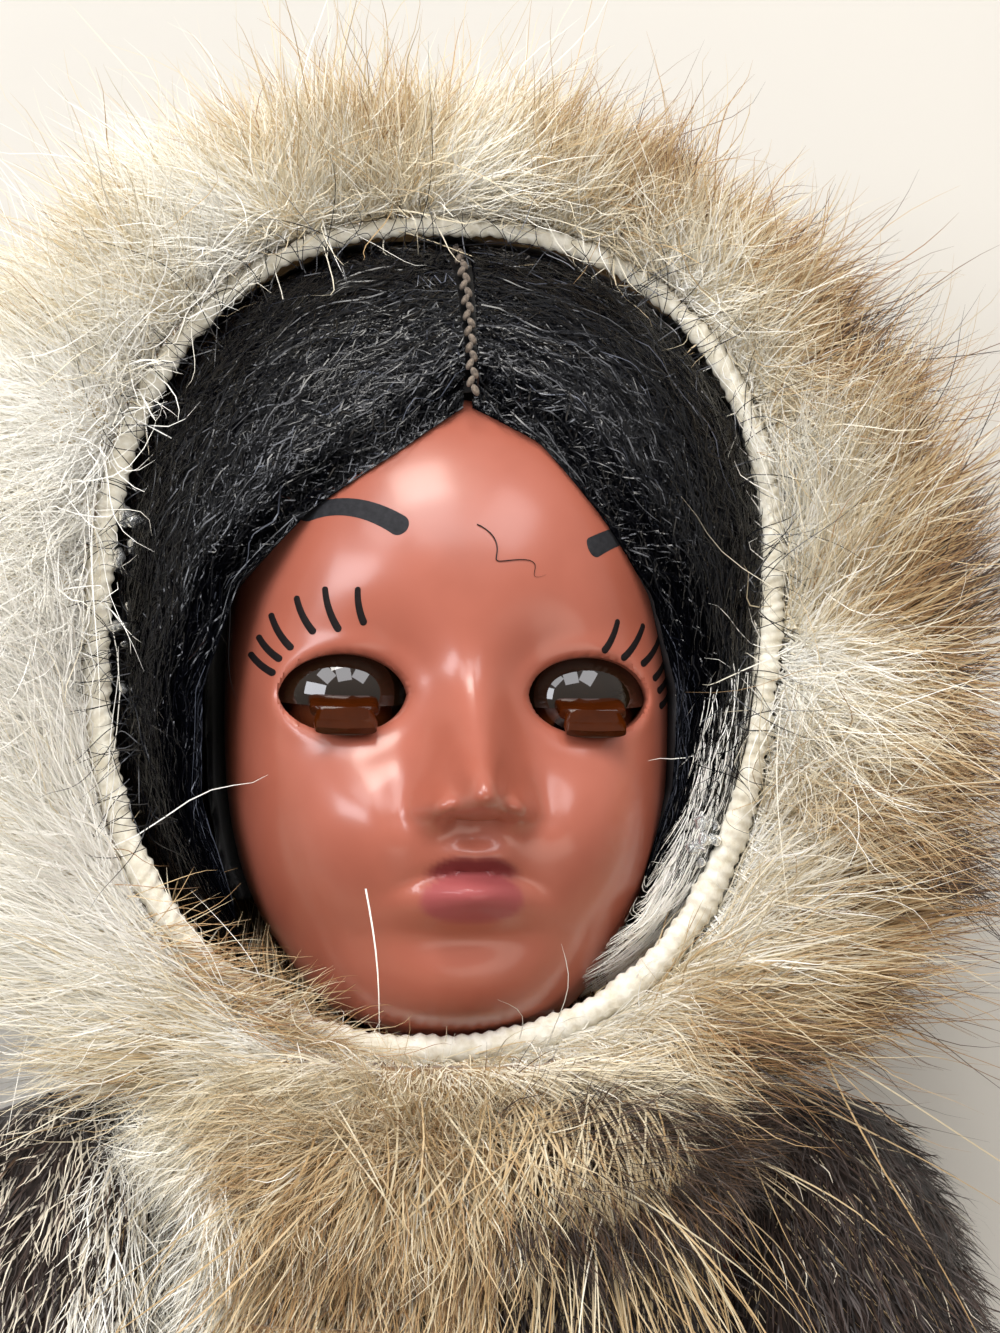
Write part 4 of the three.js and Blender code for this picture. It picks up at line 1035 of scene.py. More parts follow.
@dataclass
class FurPiece:
    """A garment piece: a pelt made from one node, with fur growing on its open side.

    Attributes:
        pelt: The skin.
        coats: Each kind of hair on it.
        body: The body that it rides on.
        slot: The record's material slot, not used.
        skin_look: The skin's material.
        fur_look: The hair's material.
        room: How much room a hair needs before it to grow at all.
        tries: Places tried for each hair.
        area_tries: The same where a coat has an area of its own.
        lift: How far off the skin the room is measured.
        lowest: The least height of a root.
    """

    pelt: Pelt
    coats: Sequence[Coat]
    body: Body
    slot: str
    skin_look: Material
    fur_look: Material
    room: float = 3.0
    tries: float = 1.6
    area_tries: float = 6.0
    lift: float = 0.1
    lowest: float = 0.4

    def build(self) -> None:
        """Builds and dresses the skin and its fur."""
        node = self.pelt.node
        skin = dress(self.pelt.build(), self.skin_look, self.body, [node])
        rng = np.random.default_rng(SEED + sum(map(ord, node)))
        near = Neighbours([node])
        for number, coat in enumerate(self.coats):
            pile = coat.pile
            tries = self.area_tries if coat.area else self.tries
            roots, outward = Skin(skin).sample(int(pile.count * tries), rng)
            if coat.area:
                inside = coat.area(roots)
                roots, outward = roots[inside][: 2 * pile.count], outward[inside][: 2 * pile.count]
            ways = coat.lay(roots, outward)
            open_side = near.clear(roots + self.lift * outward, unit(outward), self.room)
            open_side &= roots[:, 2] > self.lowest
            roots, outward, ways = roots[open_side], outward[open_side], ways[open_side]
            lines = pile.grow(roots, ways, rng)
            facing = unit(outward + rng.normal(0, 0.35, outward.shape))
            width = pile.width * rng.uniform(0.7, 1.25, len(roots))
            fur = Strands(f"{node}_fur_{number}", lines, facing, width, coat.tone(roots, rng))
            fur.wear(coat.look or self.fur_look, self.body)


# Head


@dataclass(frozen=True)
class Form:
    """A bump or hollow of the face, measured from the middle of the eye line, paired unless x is 0."""

    x: float
    y: float
    wide: float
    tall: float
    rise: float
    bow: float = 0.0  # how far its ends turn down, for each millimetre across squared

    def at(self, x: Array, y: Array) -> Array:
        """The rise at places on the face.

        Args:
            x: Places across.
            y: Places along.

        Returns:
            The rise at each.
        """
        down = ((y + self.bow * x**2 - self.y) / self.tall) ** 2
        middles = [0.0] if self.x == 0 else [self.x, -self.x]
        return sum(self.rise * np.exp(-(((x - m) / self.wide) ** 2 + down) / 2) for m in middles)


@dataclass
class Face:
    """The moulded face, with its painted lips, brows and lashes."""

    look: Finish
    half_width: float = 15.7
    up: float = 25.0
    down: float = 22.0
    chin_push: float = 1.6  # how far the chin's front hangs below the plain form
    chin_span: tuple[float, float] = (-15.5, -20.0)  # where that begins, and where it is full
    front: float = 17.0
    squareness: float = 2.5
    wall: float = 1.6
    fade: float = 6.0
    eye_x: float = 8.25
    eye_half_width: float = 4.25
    eye_half_height: float = 2.65
    eye_fullness: float = 2.55  # how full the opening is towards its corners
    eye_cut: float = 20.0  # how far forwards the opening is cut
    cup_radius: float = 5.8
    cup_x: float = 7.8
    rim_round: float = 0.4
    rim_swell: float = 0.16  # how far the rim stands proud
    nose: tuple[float, float, float, float] = (4.1, 4.6, -6.9, -8.3)  # rise, top, tip and base
    bridge_width: float = 1.4
    nose_width: float = 1.8
    brow_stroke: tuple[float, float] = (1.5, 0.7)  # its breadth, and its far end's share of that
    lash_stroke: tuple[float, float] = (0.5, 0.75)
    paint_proud: float = 0.05
    columns: int = 220
    rows: int = 110
    broad: Sequence[Form] = (
        Form(0, 12, 9, 7, 0.8),
        Form(4.9, 0.2, 2.2, 3.2, -1.9),
        Form(8.25, 0, 3.6, 3.4, -0.9),
        Form(13.0, -0.5, 1.6, 3.0, 0.9),
        Form(0, -12, 6, 4.5, 1.4),
    )
    fine: Sequence[Form] = (
        Form(8.25, -9.2, 4.7, 3.8, 1.7),
        Form(0, -6.6, 1.6, 1.4, 1.5),
        Form(1.6, -6.8, 0.5, 1.2, -0.5),
        Form(2.7, -7.8, 0.85, 0.9, 1.8),
        Form(4.5, -7.2, 0.9, 1.5, -0.5),
        Form(0, -9.4, 0.7, 0.9, -0.35),
        Form(1.1, -10.7, 1.1, 0.75, 0.7),
        Form(0, -13.4, 2.3, 1.05, 2.1, 0.02),
        Form(0, -11.7, 2.5, 0.42, -1.0, 0.05),
        Form(4.0, -12.2, 1.4, 1.3, -0.3),
        Form(0, -16.0, 2.8, 0.8, -0.8),
        Form(0, -19.8, 4.6, 2.7, 2.1),
    )

    def plain_depth(self, x: Array, y: Array) -> Array:
        """The head's front before its relief.

        Args:
            x: Places across.
            y: Places along, from the eye line.

        Returns:
            The height of each above the doll's axis.
        """
        n = self.squareness
        flat = (np.abs(x) / self.half_width) ** n + (np.abs(y) / np.where(y > 0, self.up, self.down)) ** n
        return self.front * np.maximum(1 - flat, 0) ** (1 / n)

    def nose_rise(self, x: Array, y: Array) -> Array:
        """The rise of the nose.

        Args:
            x: Places across.
            y: Places along.

        Returns:
            The rise at each.
        """
        rise, top, tip, base = self.nose
        slope = ease(top, tip, y)
        under = np.clip((tip - y) / (tip - base), 0, 1)
        along = np.where(y > tip, slope**1.3, np.sqrt(1 - under**2))
        width = self.bridge_width + (self.nose_width - self.bridge_width) * slope
        return rise * along * np.exp(-((x / width) ** 2) / 2)

    def almond(self, t: Array) -> tuple[Array, Array]:
        """The upper half of an eye opening's outline.

        Args:
            t: Places along it, from 0 to 1.

        Returns:
            How far each lies across and above the opening's middle.
        """
        full = self.eye_fullness
        across = -((1 - t) ** 3) - full * t * (1 - t) ** 2 + full * t**2 * (1 - t) + t**3
        return self.eye_half_width * across, 4 * self.eye_half_height * t * (1 - t)

    def from_opening(self, x: Array, y: Array) -> Array:
        """The distance of places outside the nearer eye opening, less than 0 inside it.

        Args:
            x: Places across.
            y: Places along.

        Returns:
            About how far each lies from the opening's edge.
        """
        across, above = self.almond(np.linspace(0, 1, 60))
        edge = np.stack([np.tile(across, 2), np.concatenate([above, -above])], axis=1)
        place = np.stack([np.abs(x) - self.eye_x, y], axis=-1)
        gap = np.linalg.norm(place[..., None, :] - edge, axis=-1).min(-1)
        top = np.interp(place[..., 0], across, above, left=-1, right=-1)
        return np.where(np.abs(y) < top, -gap, gap)

    def relief(self, x: Array, y: Array, fine: bool = True) -> Array:
        """The relief of the face.

        Args:
            x: Places across.
            y: Places along.
            fine: Whether the fine forms count, or only those that the inside follows.

        Returns:
            The rise at each place.
        """
        rise = sum(form.at(x, y) for form in self.broad)
        if not fine:
            return rise
        rise = rise + sum(form.at(x, y) for form in self.fine) + self.nose_rise(x, y)
        out = self.from_opening(x, y)
        rounding = np.clip(self.rim_round - out, 0, self.rim_round)
        lip = self.rim_round - np.sqrt(self.rim_round**2 - rounding**2)
        swell = self.rim_swell * np.exp(-(((out - 0.6) / 0.5) ** 2) / 2)
        return rise - lip + np.where(out > 0, swell, 0)

    def depth(self, x: Array, y: Array) -> Array:
        """The height of the face above the doll's axis."""
        plain = self.plain_depth(x, y)
        return plain + ease(0, self.fade, plain) * self.relief(x, y)

    def egg(self, grow: float, fine: bool) -> Array:
        """One skin of the shell, as rings from the middle of the face to the seam.

        Args:
            grow: How far the skin lies outside the head's form.
            fine: Whether it has the fine relief.

        Returns:
            Points as rings by points by 3, in the row frame.
        """
        way = round_ways(np.linspace(0.004, math.pi / 2 - 0.009, self.rows), self.columns)
        n = self.squareness
        tall = np.where(way[..., 1] > 0, self.up, self.down) + grow
        reach = (
            (np.abs(way[..., 0]) / (self.half_width + grow)) ** n
            + (np.abs(way[..., 1]) / tall) ** n
            + (way[..., 2] / (self.front + grow)) ** n
        ) ** (-1 / n)
        points = way * reach[..., None]
        shown = ease(0, self.fade, points[..., 2])
        points[..., 2] += shown * self.relief(points[..., 0], points[..., 1], fine)
        points[..., 1] -= self.chin_push * shown * ease(*self.chin_span, points[..., 1])
        return points + np.array([0, EYE_LINE, AXIS])

    def opening_cutters(self) -> list[Thing]:
        """Solids that cut the almond openings and the round cups behind them.

        Returns:
            A pair of prisms as one object, and a pair of balls as another.
        """
        across, above = self.almond(np.linspace(0, 1, 33)[:-1])
        outline = np.concatenate([np.stack([across, -above], 1), np.stack([-across, above], 1)])
        prisms, balls = [], []
        for side in Side:
            flat = outline + np.array([side.value * self.eye_x, EYE_LINE])
            span = (EYE_DEPTH, EYE_DEPTH + self.eye_cut)
            ends = [np.column_stack([flat, np.full(len(flat), z)]) for z in span]
            prisms.append(loft("eye_prism", np.stack(ends)))
            cup = np.array([[side.value * self.cup_x, EYE_LINE, EYE_DEPTH]])
            balls.append(ellipsoids("eye_cup", cup, np.full((1, 3), self.cup_radius), 48))
        return [join(prisms, "eye_prisms"), join(balls, "eye_cups")]

    def build(self) -> None:
        """Builds and dresses the shell and its paint."""
        outer, inner = self.egg(0, True), self.egg(-self.wall, False)
        rings = np.concatenate([outer, inner[::-1]])
        shell = loft("face", rings)
        for cutter in self.opening_cutters():
            cut = shell.modifiers.new("cut", "BOOLEAN")
            cut.object = cutter
            cut.solver = "EXACT"
            shell = evaluated(shell, "face")
            bpy.data.objects.remove(cutter)
        shell.data.set_sharp_from_angle(angle=math.radians(40))
        x, y, _ = places_of(shell.data).T
        for name, values in self.lip_paint(x, y - EYE_LINE).items():
            mark(shell.data, name, values)
        dress(shell, self.look.skin, Body.HEAD, ["face_shell"])
        self.paint()

    def lip_paint(self, x: Array, y: Array) -> dict[str, Array]:
        """How thickly the lips are painted.

        Args:
            x: Places across.
            y: Places along.

        Returns:
            The paint's cover, and how far it is the upper lip's.
        """
        bowed = y + 0.05 * x**2
        lower = (np.abs(x / 3.5) ** 2.2 + np.abs((y + 0.02 * x**2 + 13.35) / 1.75) ** 2.2) ** (1 / 2.2)
        peak = np.hypot((np.abs(x) - 1.15) / 2.0, (bowed + 11.4) / 0.8)
        cover = np.maximum(ease(1.05, 0.86, lower), 0.95 * ease(1.2, 0.6, peak))
        return {"lip_paint": cover, "upper_lip": ease(-12.05, -11.6, bowed)}

    def stroke(self, name: str, path: Array, width: float, taper: float) -> Thing:
        """A brush stroke on the face.

        Args:
            name: The piece's name.
            path: Its middle line across and along the face.
            width: Its full breadth.
            taper: How slim its far end is beside that.

        Returns:
            The new object, just proud of the face.
        """
        steps, bands = 36, 7
        length = np.linalg.norm(np.diff(path, axis=0), axis=1).sum()
        t = (1 - np.cos(np.linspace(0, math.pi, steps))) / 2
        along = np.linspace(0, 1, len(path))
        line = np.stack([np.polyval(np.polyfit(along, path[:, i], 3), t) for i in (0, 1)], axis=1)
        way = unit(np.gradient(line, axis=0))
        side = np.stack([-way[:, 1], way[:, 0]], axis=1)
        half = width / 2 * (1 + (taper - 1) * t)
        from_end = np.clip(1 - np.minimum(t, 1 - t) * length / half, 0, 1)
        half = half * np.sqrt(np.maximum(1 - from_end**2, 1e-4))
        spread = np.linspace(-1, 1, bands)
        flat = line[:, None, :] + side[:, None, :] * (half[:, None] * spread[None, :])[..., None]
        proud = self.paint_proud * (1 - 0.7 * spread**2)
        height = self.depth(flat[..., 0], flat[..., 1]) + AXIS + proud[None, :]
        points = np.concatenate([flat + np.array([0, EYE_LINE]), height[..., None]], axis=-1)
        return piece(name, points.reshape(-1, 3), grid_faces(steps, bands))

    def paint(self) -> None:
        """Paints the brows and the lashes above each eye."""
        brows = {
            Side.RIGHT: [(-4.4, 10.6), (-5.8, 11.5), (-7.4, 12.15), (-9.3, 12.35), (-11.2, 11.8)],
            Side.LEFT: [(7.9, 9.7), (9.0, 10.3), (10.6, 11.0), (12.4, 11.2)],
        }
        lashes = {  # each lash from the rim outwards
            Side.RIGHT: [
                ((-7.0, 4.4), (-7.5, 6.9)), ((-8.6, 4.0), (-9.6, 7.0)),
                ((-10.2, 3.9), (-11.4, 6.5)), ((-11.6, 2.9), (-13.0, 5.5)),
                ((-12.3, 2.2), (-13.8, 4.1)), ((-12.7, 1.3), (-14.3, 3.0)),
            ],
            Side.LEFT: [
                ((9.0, 2.9), (10.1, 5.2)), ((10.4, 2.5), (12.2, 5.1)),
                ((11.9, 2.2), (13.8, 4.5)), ((12.9, 1.3), (14.5, 3.2)),
                ((13.3, 0.5), (14.8, 2.0)), ((13.5, -0.5), (14.9, 0.7)),
            ],
        }
        for side in Side:
            brow = self.stroke(f"{side.word}_brow", np.array(brows[side]), *self.brow_stroke)
            dress(brow, self.look.brow, Body.HEAD)
            strokes = [
                self.stroke(f"{side.word}_lash_{i}", self.bent(np.array(ends)), *self.lash_stroke)
                for i, ends in enumerate(lashes[side])
            ]
            dress(join(strokes, f"{side.word}_painted_lashes"), self.look.lash, Body.HEAD)

    @staticmethod
    def bent(ends: Array) -> Array:
        """A slightly bowed line between two places, from the first to the second."""
        run = ends[1] - ends[0]
        bow = 0.07 * np.array([-run[1], run[0]]) * np.sign(ends[0, 0])
        t = np.linspace(0, 1, 7)[:, None]
        return ends[0] + t * run - 4 * t * (1 - t) * bow


def ellipsoids(
    name: str, middles: Array, radii: Array, detail: int, turns: Optional[Array] = None
) -> Thing:
    """Rounded beads in one mesh.

    Args:
        name: The piece's name.
        middles: Their places.
        radii: Their half sizes along their own three axes.
        detail: Points round each.
        turns: A rotation matrix for each, where they are turned.

    Returns:
        The new object.
    """
    rows = detail // 2 + 1
    ball = round_ways(np.linspace(0.02, math.pi - 0.02, rows), detail).reshape(-1, 3)
    points, faces = [], []
    for i, (place, radius) in enumerate(zip(middles, radii)):
        shaped = ball * radius
        points.append((shaped @ turns[i].T if turns is not None else shaped) + place)
        start = i * len(ball)
        faces += grid_faces(rows, detail, wrap=True, start=start)
        last = start + (rows - 1) * detail
        faces += [tuple(range(start, start + detail))[::-1], tuple(range(last, last + detail))]
    return piece(name, np.concatenate(points), faces)


def join(parts: Sequence[Thing], name: str) -> Thing:
    """Joins loose objects into one.

    Args:
        parts: The objects, which are removed.
        name: The joined object's name.

    Returns:
        The joined object.
    """
    points, faces = [], []
    for part in parts:
        start = len(points)
        points += [v.co / MM for v in part.data.vertices]
        faces += [[start + i for i in f.vertices] for f in part.data.polygons]
    for part in parts:
        bpy.data.objects.remove(part)
    return piece(name, np.array([list(p) for p in points]), faces)


@dataclass
class SleepEyes:
    """The eyeballs, their half-round lids and the moulded lashes, on the axle."""

    look: Finish
    spacing: float = 7.8
    ball_radius: float = 4.7
    cornea: float = 0.25  # how far the cornea stands out of the ball
    lid_radius: float = 5.45
    lid_thickness: float = 0.4
    lid_angle: float = -9.0
    lid_back: float = 165.0  # how far round the axle the lid reaches
    lid_spread: float = 78.0  # how far to each side, in degrees
    iris_angle: float = -32.0
    iris_spread: float = 0.4  # how broad the cornea is, in radians
    lash_root: float = 2.3
    lash_tip: float = 2.1
    lash_thickness: float = 0.8
    lash_shift: float = 0.45  # from the ball's middle to the opening's
    lash_sink: float = 0.75  # how far the lash is rooted in the lid

    def build(self) -> None:
        """Builds and dresses both eyes."""
        for side in Side:
            middle = np.array([side.value * self.spacing, EYE_LINE, EYE_DEPTH])
            word = side.word
            dress(self.lid(side, middle), self.look.lid, Body.EYES, [f"{word}_eyelid"])
            dress(self.lash(side, middle), self.look.tab, Body.EYES)
            dress(self.eyeball(side, middle), self.look.eye, Body.EYES, [f"{word}_eyeball"])

    def lid(self, side: Side, middle: Array) -> Thing:
        """A half-round lid with a rolled edge.

        Args:
            side: The doll's side.
            middle: The middle of the eye.

        Returns:
            The new object.
        """
        swing = np.radians(np.linspace(self.lid_angle, self.lid_back, 70))
        spread = np.radians(np.linspace(-self.lid_spread, self.lid_spread, 60))
        skins = []
        for radius in (self.lid_radius, self.lid_radius - self.lid_thickness):
            x = radius * np.sin(spread)[None, :] + 0 * swing[:, None]
            y = radius * np.cos(spread)[None, :] * np.sin(swing)[:, None]
            z = radius * np.cos(spread)[None, :] * np.cos(swing)[:, None]
            skins.append(np.stack([x, y, z], axis=-1) + middle)
        made = thick_sheet(f"{side.word}_lid", *skins, flip=True)
        made.data.set_sharp_from_angle(angle=math.radians(50))
        return made

    def lash(self, side: Side, middle: Array) -> Thing:
        """The moulded lash: a stepped tab that stands out over the lower rim.

        Args:
            side: The doll's side.
            middle: The middle of the eye.

        Returns:
            The new object.
        """
        thick = self.lash_thickness
        drop = thick / 2 - self.lid_radius * math.sin(-math.radians(self.lid_angle))
        stations = [
            (self.lid_radius - self.lash_sink, drop, self.lash_root, 0.5),
            (self.lid_radius + 0.9 * thick, drop - 0.5 * thick, self.lash_root, 0.5),
            (self.lid_radius + 1.9 * thick, drop - 1.15 * thick, self.lash_root - 0.05, 0.46),
            (self.lid_radius + 2.0 * thick, drop - 1.3 * thick, self.lash_root - 0.4, 0.38),
            (self.lid_radius + 3.0 * thick, drop - 2.2 * thick, self.lash_tip, 0.36),
            (self.lid_radius + 3.6 * thick, drop - 2.8 * thick, self.lash_tip - 0.1, 0.3),
        ]
        path = np.array([(side.value * self.lash_shift, y, z) for z, y, _, _ in stations])
        way = unit(np.gradient(path, axis=0))
        turn = full_turn(28)
        c, s = np.cos(turn), np.sin(turn)
        rings = []
        for (_, _, half, deep), at, along in zip(stations, path, way):
            up = np.cross(along, [1, 0, 0])
            x = half * np.sign(c) * np.abs(c) ** 0.35
            y = deep * np.sign(s) * np.abs(s) ** 0.6
            bow = -0.1 * x**2 / half
            rings.append(at + np.outer(x, [1, 0, 0]) + np.outer(y, up) + np.outer(bow, along) + middle)
        made = loft(f"{side.word}_moulded_lash", np.stack(rings))
        made.data.set_sharp_from_angle(angle=math.radians(35))
        return made

    def eyeball(self, side: Side, middle: Array) -> Thing:
        """A ball with a bulged cornea. Its iris is behind the lower rim while the lids are shut.

        Args:
            side: The doll's side.
            middle: The middle of the eye.

        Returns:
            The new object.
        """
        made = ellipsoids(f"{side.word}_ball", middle[None], np.full((1, 3), self.ball_radius), 64)
        down = math.radians(self.iris_angle)
        gaze = np.array([0, math.sin(down), math.cos(down)])
        out = unit(places_of(made.data) - middle)
        turned = np.arccos(np.clip(out @ gaze, -1, 1))
        radius = self.ball_radius + self.cornea * np.exp(-((turned / self.iris_spread) ** 2))
        move_to(made.data, middle + out * radius[:, None])
        mark(made.data, "from_pupil", turned / math.pi)
        return made


@dataclass
class HoodOpening:
    """The rim of the hood round the face, as a rounded loop at one height."""

    rise: float = 4.4  # middle of the loop above the eye line
    edge_radius: float = 1.05
    squareness: float = 2.3
    tuck: float = 4.4  # how far the edge is drawn in beside the doll's left jaw
    tuck_lift: float = 4.4
    tuck_angle: float = -22.0
    tuck_spread: float = 0.62
    tuck_fade: float = 9.0  # how far outside the edge the tuck runs out
    chin_lift: float = 1.5  # how far the edge rides up on the fur under the chin
    chin_drop: float = 1.7  # how far it hangs below the chin
    chin_spread: float = 0.3  # how far round the edge these two reach

    def __post_init__(self) -> None:
        """Reads the loop's reaches from the frame's hide edge."""
        low, high = box_mm("hood_edge")
        self.middle = EYE_LINE + self.rise
        self.half_width = float(high[0]) - self.edge_radius
        self.up = float(high[1]) - self.edge_radius - self.middle
        self.down = self.middle - float(low[1]) - self.edge_radius
        self.height = float(low[2] + high[2]) / 2

    def way(self, angle: Array) -> Array:
        """The outward way at angles round the loop, from the doll's left over the crown."""
        return np.stack([np.cos(angle), np.sin(angle), 0 * angle], axis=-1)

    def at(self, angle: Array, out: Array | float = 0.0, rise: Array | float = 0.0) -> Array:
        """Places on or beside the loop.

        Args:
            angle: How far round.
            out: How far outside the loop.
            rise: How far above it.

        Returns:
            The places in the row frame.
        """
        c, s = np.cos(angle), np.sin(angle)
        n = self.squareness
        tall = np.where(s > 0, self.up, self.down)
        reach = ((np.abs(c) / self.half_width) ** n + (np.abs(s) / tall) ** n) ** (-1 / n) + out
        near = np.exp((np.cos(angle - math.radians(self.tuck_angle)) - 1) / self.tuck_spread**2)
        near = near * np.clip(1 - np.asarray(out) / self.tuck_fade, 0, 1)
        under = np.exp((np.cos(angle + math.pi / 2) - 1) / self.chin_spread)
        reach = reach - self.tuck * near + self.chin_drop * under
        height = self.height + rise + self.tuck_lift * near + self.chin_lift * under
        return np.stack([c * reach, self.middle + s * reach, height + 0 * reach], axis=-1)


@dataclass
class Wig:
    """The black wig, combed from its stitched parting to both sides of the face."""

    look: Finish
    opening: HoodOpening
    face: Face
    half_width: float = 24.2
    up: float = 28.6
    down: float = 26.5
    front: float = 18.0
    squareness: float = 2.3
    strands: int = 9000
    coats: int = 2
    points: int = 12
    width: float = 0.085
    hug: float = 3.5  # how far from the hairline the hair lies close to the face
    sink: float = 3.0  # how far it may dip under the rest, beside the cheeks
    comb_turn: float = 150.0  # how far round the opening it is combed, in degrees
    mass_under: float = 0.55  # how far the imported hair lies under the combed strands
    loose_width: float = 0.065
    loose_lift: float = 1.3  # the least height of a loose hair over the hood's edge
    stitch_pitch: float = 0.62
    stitch_lean: float = 28.0  # how far each stitch leans, in degrees
    stitch_radii: tuple[float, float, float] = (0.44, 0.24, 0.24)
    caught: int = 520  # pale hairs caught in the glue
    short_loose: Pile = Pile(340, 6.5, vary=0.6, stray=0.8, curl=1.7, lock=0.0, droop=0.25, points=14)
    long_loose: Pile = Pile(44, 13.0, vary=0.5, stray=0.9, curl=3.4, lock=0.0, droop=0.1, points=30)
    hairlines: dict[Side, Sequence[tuple[float, float]]] = field(
        default_factory=lambda: {
            Side.RIGHT: [(0, 19.7), (-4.7, 16.2), (-10.5, 12.3), (-15.2, 7.4)]
            + [(-17.5, 0.3), (-17.4, -7), (-15.1, -14)],
            Side.LEFT: [(0, 19.7), (4.8, 17.0), (9.4, 11.6), (12.8, 7)]
            + [(14.7, 0.5), (14.6, -6), (12.8, -12)],
        }
    )

    def surface(self, x: Array, y: Array) -> Array:
        """The height of the combed hair.

        Args:
            x: Places across.
            y: Places along, from the eye line.

        Returns:
            The height of each above the doll's axis.
        """
        n = self.squareness
        rise = y - self.opening.rise
        tall = np.where(rise > 0, self.up, self.down)
        flat = (np.abs(x) / self.half_width) ** n + (np.abs(rise) / tall) ** n
        return self.front * np.maximum(1 - flat, 0.0) ** (1 / n)

    def outward(self, places: Array) -> Array:
        """The way out of the combed hair at places on it.

        Args:
            places: Places in the row frame.

        Returns:
            The outward way at each.
        """
        x, y, z = (places - np.array([0, self.opening.middle, AXIS])).T
        n = self.squareness - 1
        tall = np.where(y > 0, self.up, self.down)
        reaches = [(x, self.half_width), (y, tall), (z, self.front)]
        slopes = [np.sign(v) * np.abs(v) ** n / size ** (n + 1) for v, size in reaches]
        return unit(np.stack(slopes, axis=-1))

    def comb(self, side: Side, across: Array, along: Array) -> Array:
        """Places on the combed hair of one side.

        Args:
            side: The doll's side.
            across: From 0 at the hairline to 1 at the hood's edge.
            along: From 0 at the parting to 1 beside the chin.

        Returns:
            The places in the row frame.
        """
        line = np.array(self.hairlines[side])
        knots = np.linspace(0, 1, len(line))
        near = np.stack([np.interp(along, knots, line[:, i]) for i in (0, 1)], axis=-1)
        edge = self.opening.at(np.radians(90 - side.value * self.comb_turn * along), -0.5)
        far = np.stack([edge[..., 0], edge[..., 1] - EYE_LINE], axis=-1)
        flat = near + (far - near) * across[..., None]
        x, y = flat[..., 0], flat[..., 1]
        skin = np.maximum(self.face.plain_depth(x, y) + 0.5, self.surface(x, y) - self.sink)
        width = np.linalg.norm(far - near, axis=-1)
        hug = ease(0.0, 1.0, across * width / self.hug)
        return np.stack([x, y + EYE_LINE, skin + (self.surface(x, y) - skin) * hug + AXIS], axis=-1)

    def build(self) -> None:
        """Builds and dresses both sides, the parting and the loose hairs."""
        rng = np.random.default_rng(SEED)
        for side in Side:
            self.base(side)
            for coat in range(self.coats):
                self.locks(side, coat, rng)
        self.parting()
        self.flyaways(rng)
        self.forehead_curl()
        self.pale_wisps(rng)
        cap = Pelt("wig_cap", inset=0.0, voxel=0.5, rounds=4).build()
        dress(cap, self.look.net, Body.HEAD, ["wig_cap"])

    def base(self, side: Side) -> None:
        """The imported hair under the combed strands.

        Args:
            side: The doll's side.
        """
        across, along = np.meshgrid(np.linspace(0, 1, 40), np.linspace(0, 1, 60))
        top = self.comb(side, across, along) - self.mass_under * UP
        foot = top.copy()
        foot[..., 2] = np.minimum(foot[..., 2] - 1.2, AXIS + 3)
        made = thick_sheet(f"{side.word}_hair_mass", top, foot)
        dress(made, self.look.scalp, Body.HEAD, [f"hair_{side.word}"])

    def locks(self, side: Side, coat: int, rng: Draws) -> None:
        """One coat of combed strands.

        Args:
            side: The doll's side.
            coat: Its number, from the undermost.
            rng: The source of chance.
        """
        count = self.strands
        lane = rng.uniform(0, 1, count) ** 0.9
        start = np.where(rng.uniform(0, 1, count) < 0.15, 0.012, rng.uniform(0.012, 0.88, count))
        stop = np.minimum(start + rng.uniform(0.06, 0.3, count) ** 1.15, 1.0)
        t = np.linspace(0, 1, self.points)[None, :]
        along = start[:, None] + (stop - start)[:, None] * t
        frizz = rng.uniform(0.4, 1.8, (count, 1))
        swerve = rng.normal(0, 0.08, (count, 1)) * t + 0.026 * frizz * waves(rng, t, count, 4, 20)
        lines = self.comb(side, np.clip(lane[:, None] + swerve, 0.0, 1.0), along)
        proud = (rng.uniform(0, 1, count) > 0.88) * rng.uniform(0, 0.9, count)
        layer = rng.uniform(-0.5, 0.2, count) + 0.2 * coat + proud
        lines[..., 2] += layer[:, None] + 0.18 * frizz * waves(rng, t, count, 8, 24)
        facing = unit(self.outward(lines[:, self.points // 2]) + rng.normal(0, 0.22, (count, 3)))
        width = self.width * rng.uniform(0.6, 1.4, count)
        # Greyer by the parting: painted sheen where the crown catches the light. Greyer beside the cheeks
        # too: painted light on hair that lies in shade there
        painted_light_by_cheeks = 0.55 * ease(0.4, 0.05, lane) * ease(0.45, 0.6, start)
        tone = np.clip(rng.normal(0.5, 0.22, count) - 0.3 * ease(0.0, 0.5, start) + painted_light_by_cheeks, 0, 1)
        Strands(f"{side.word}_combed_hair_{coat}", lines, facing, width, tone).wear(
            self.look.hair, Body.HEAD
        )

    def pale_wisps(self, rng: Draws) -> None:
        """White hairs of the fur, caught in the glue beside the doll's left jaw.

        Args:
            rng: The source of chance.
        """
        count = self.caught
        t = np.linspace(0, 1, 9)[None, :]
        start = 0.62 + 0.34 * np.sqrt(rng.uniform(0, 1, (count, 1)))
        across = np.clip(rng.uniform(0.3, 1.05, (count, 1)) + rng.normal(0, 0.22, (count, 1)) * t, 0, 1.1)
        along = np.minimum(start + rng.uniform(0.05, 0.2, (count, 1)) * t, 1.1)
        lines = self.comb(Side.LEFT, across, along)
        lines[..., 2] += 0.4 + rng.uniform(0, 0.5, (count, 1)) + 0.25 * waves(rng, t, count, 3, 14)
        facing = facing_up(count, 0.4, rng)
        width, tone = np.full(count, self.loose_width), rng.uniform(0, 0.12, count)
        Strands("pale_wisps", lines, facing, width, tone).wear(self.look.long_fur, Body.HEAD)

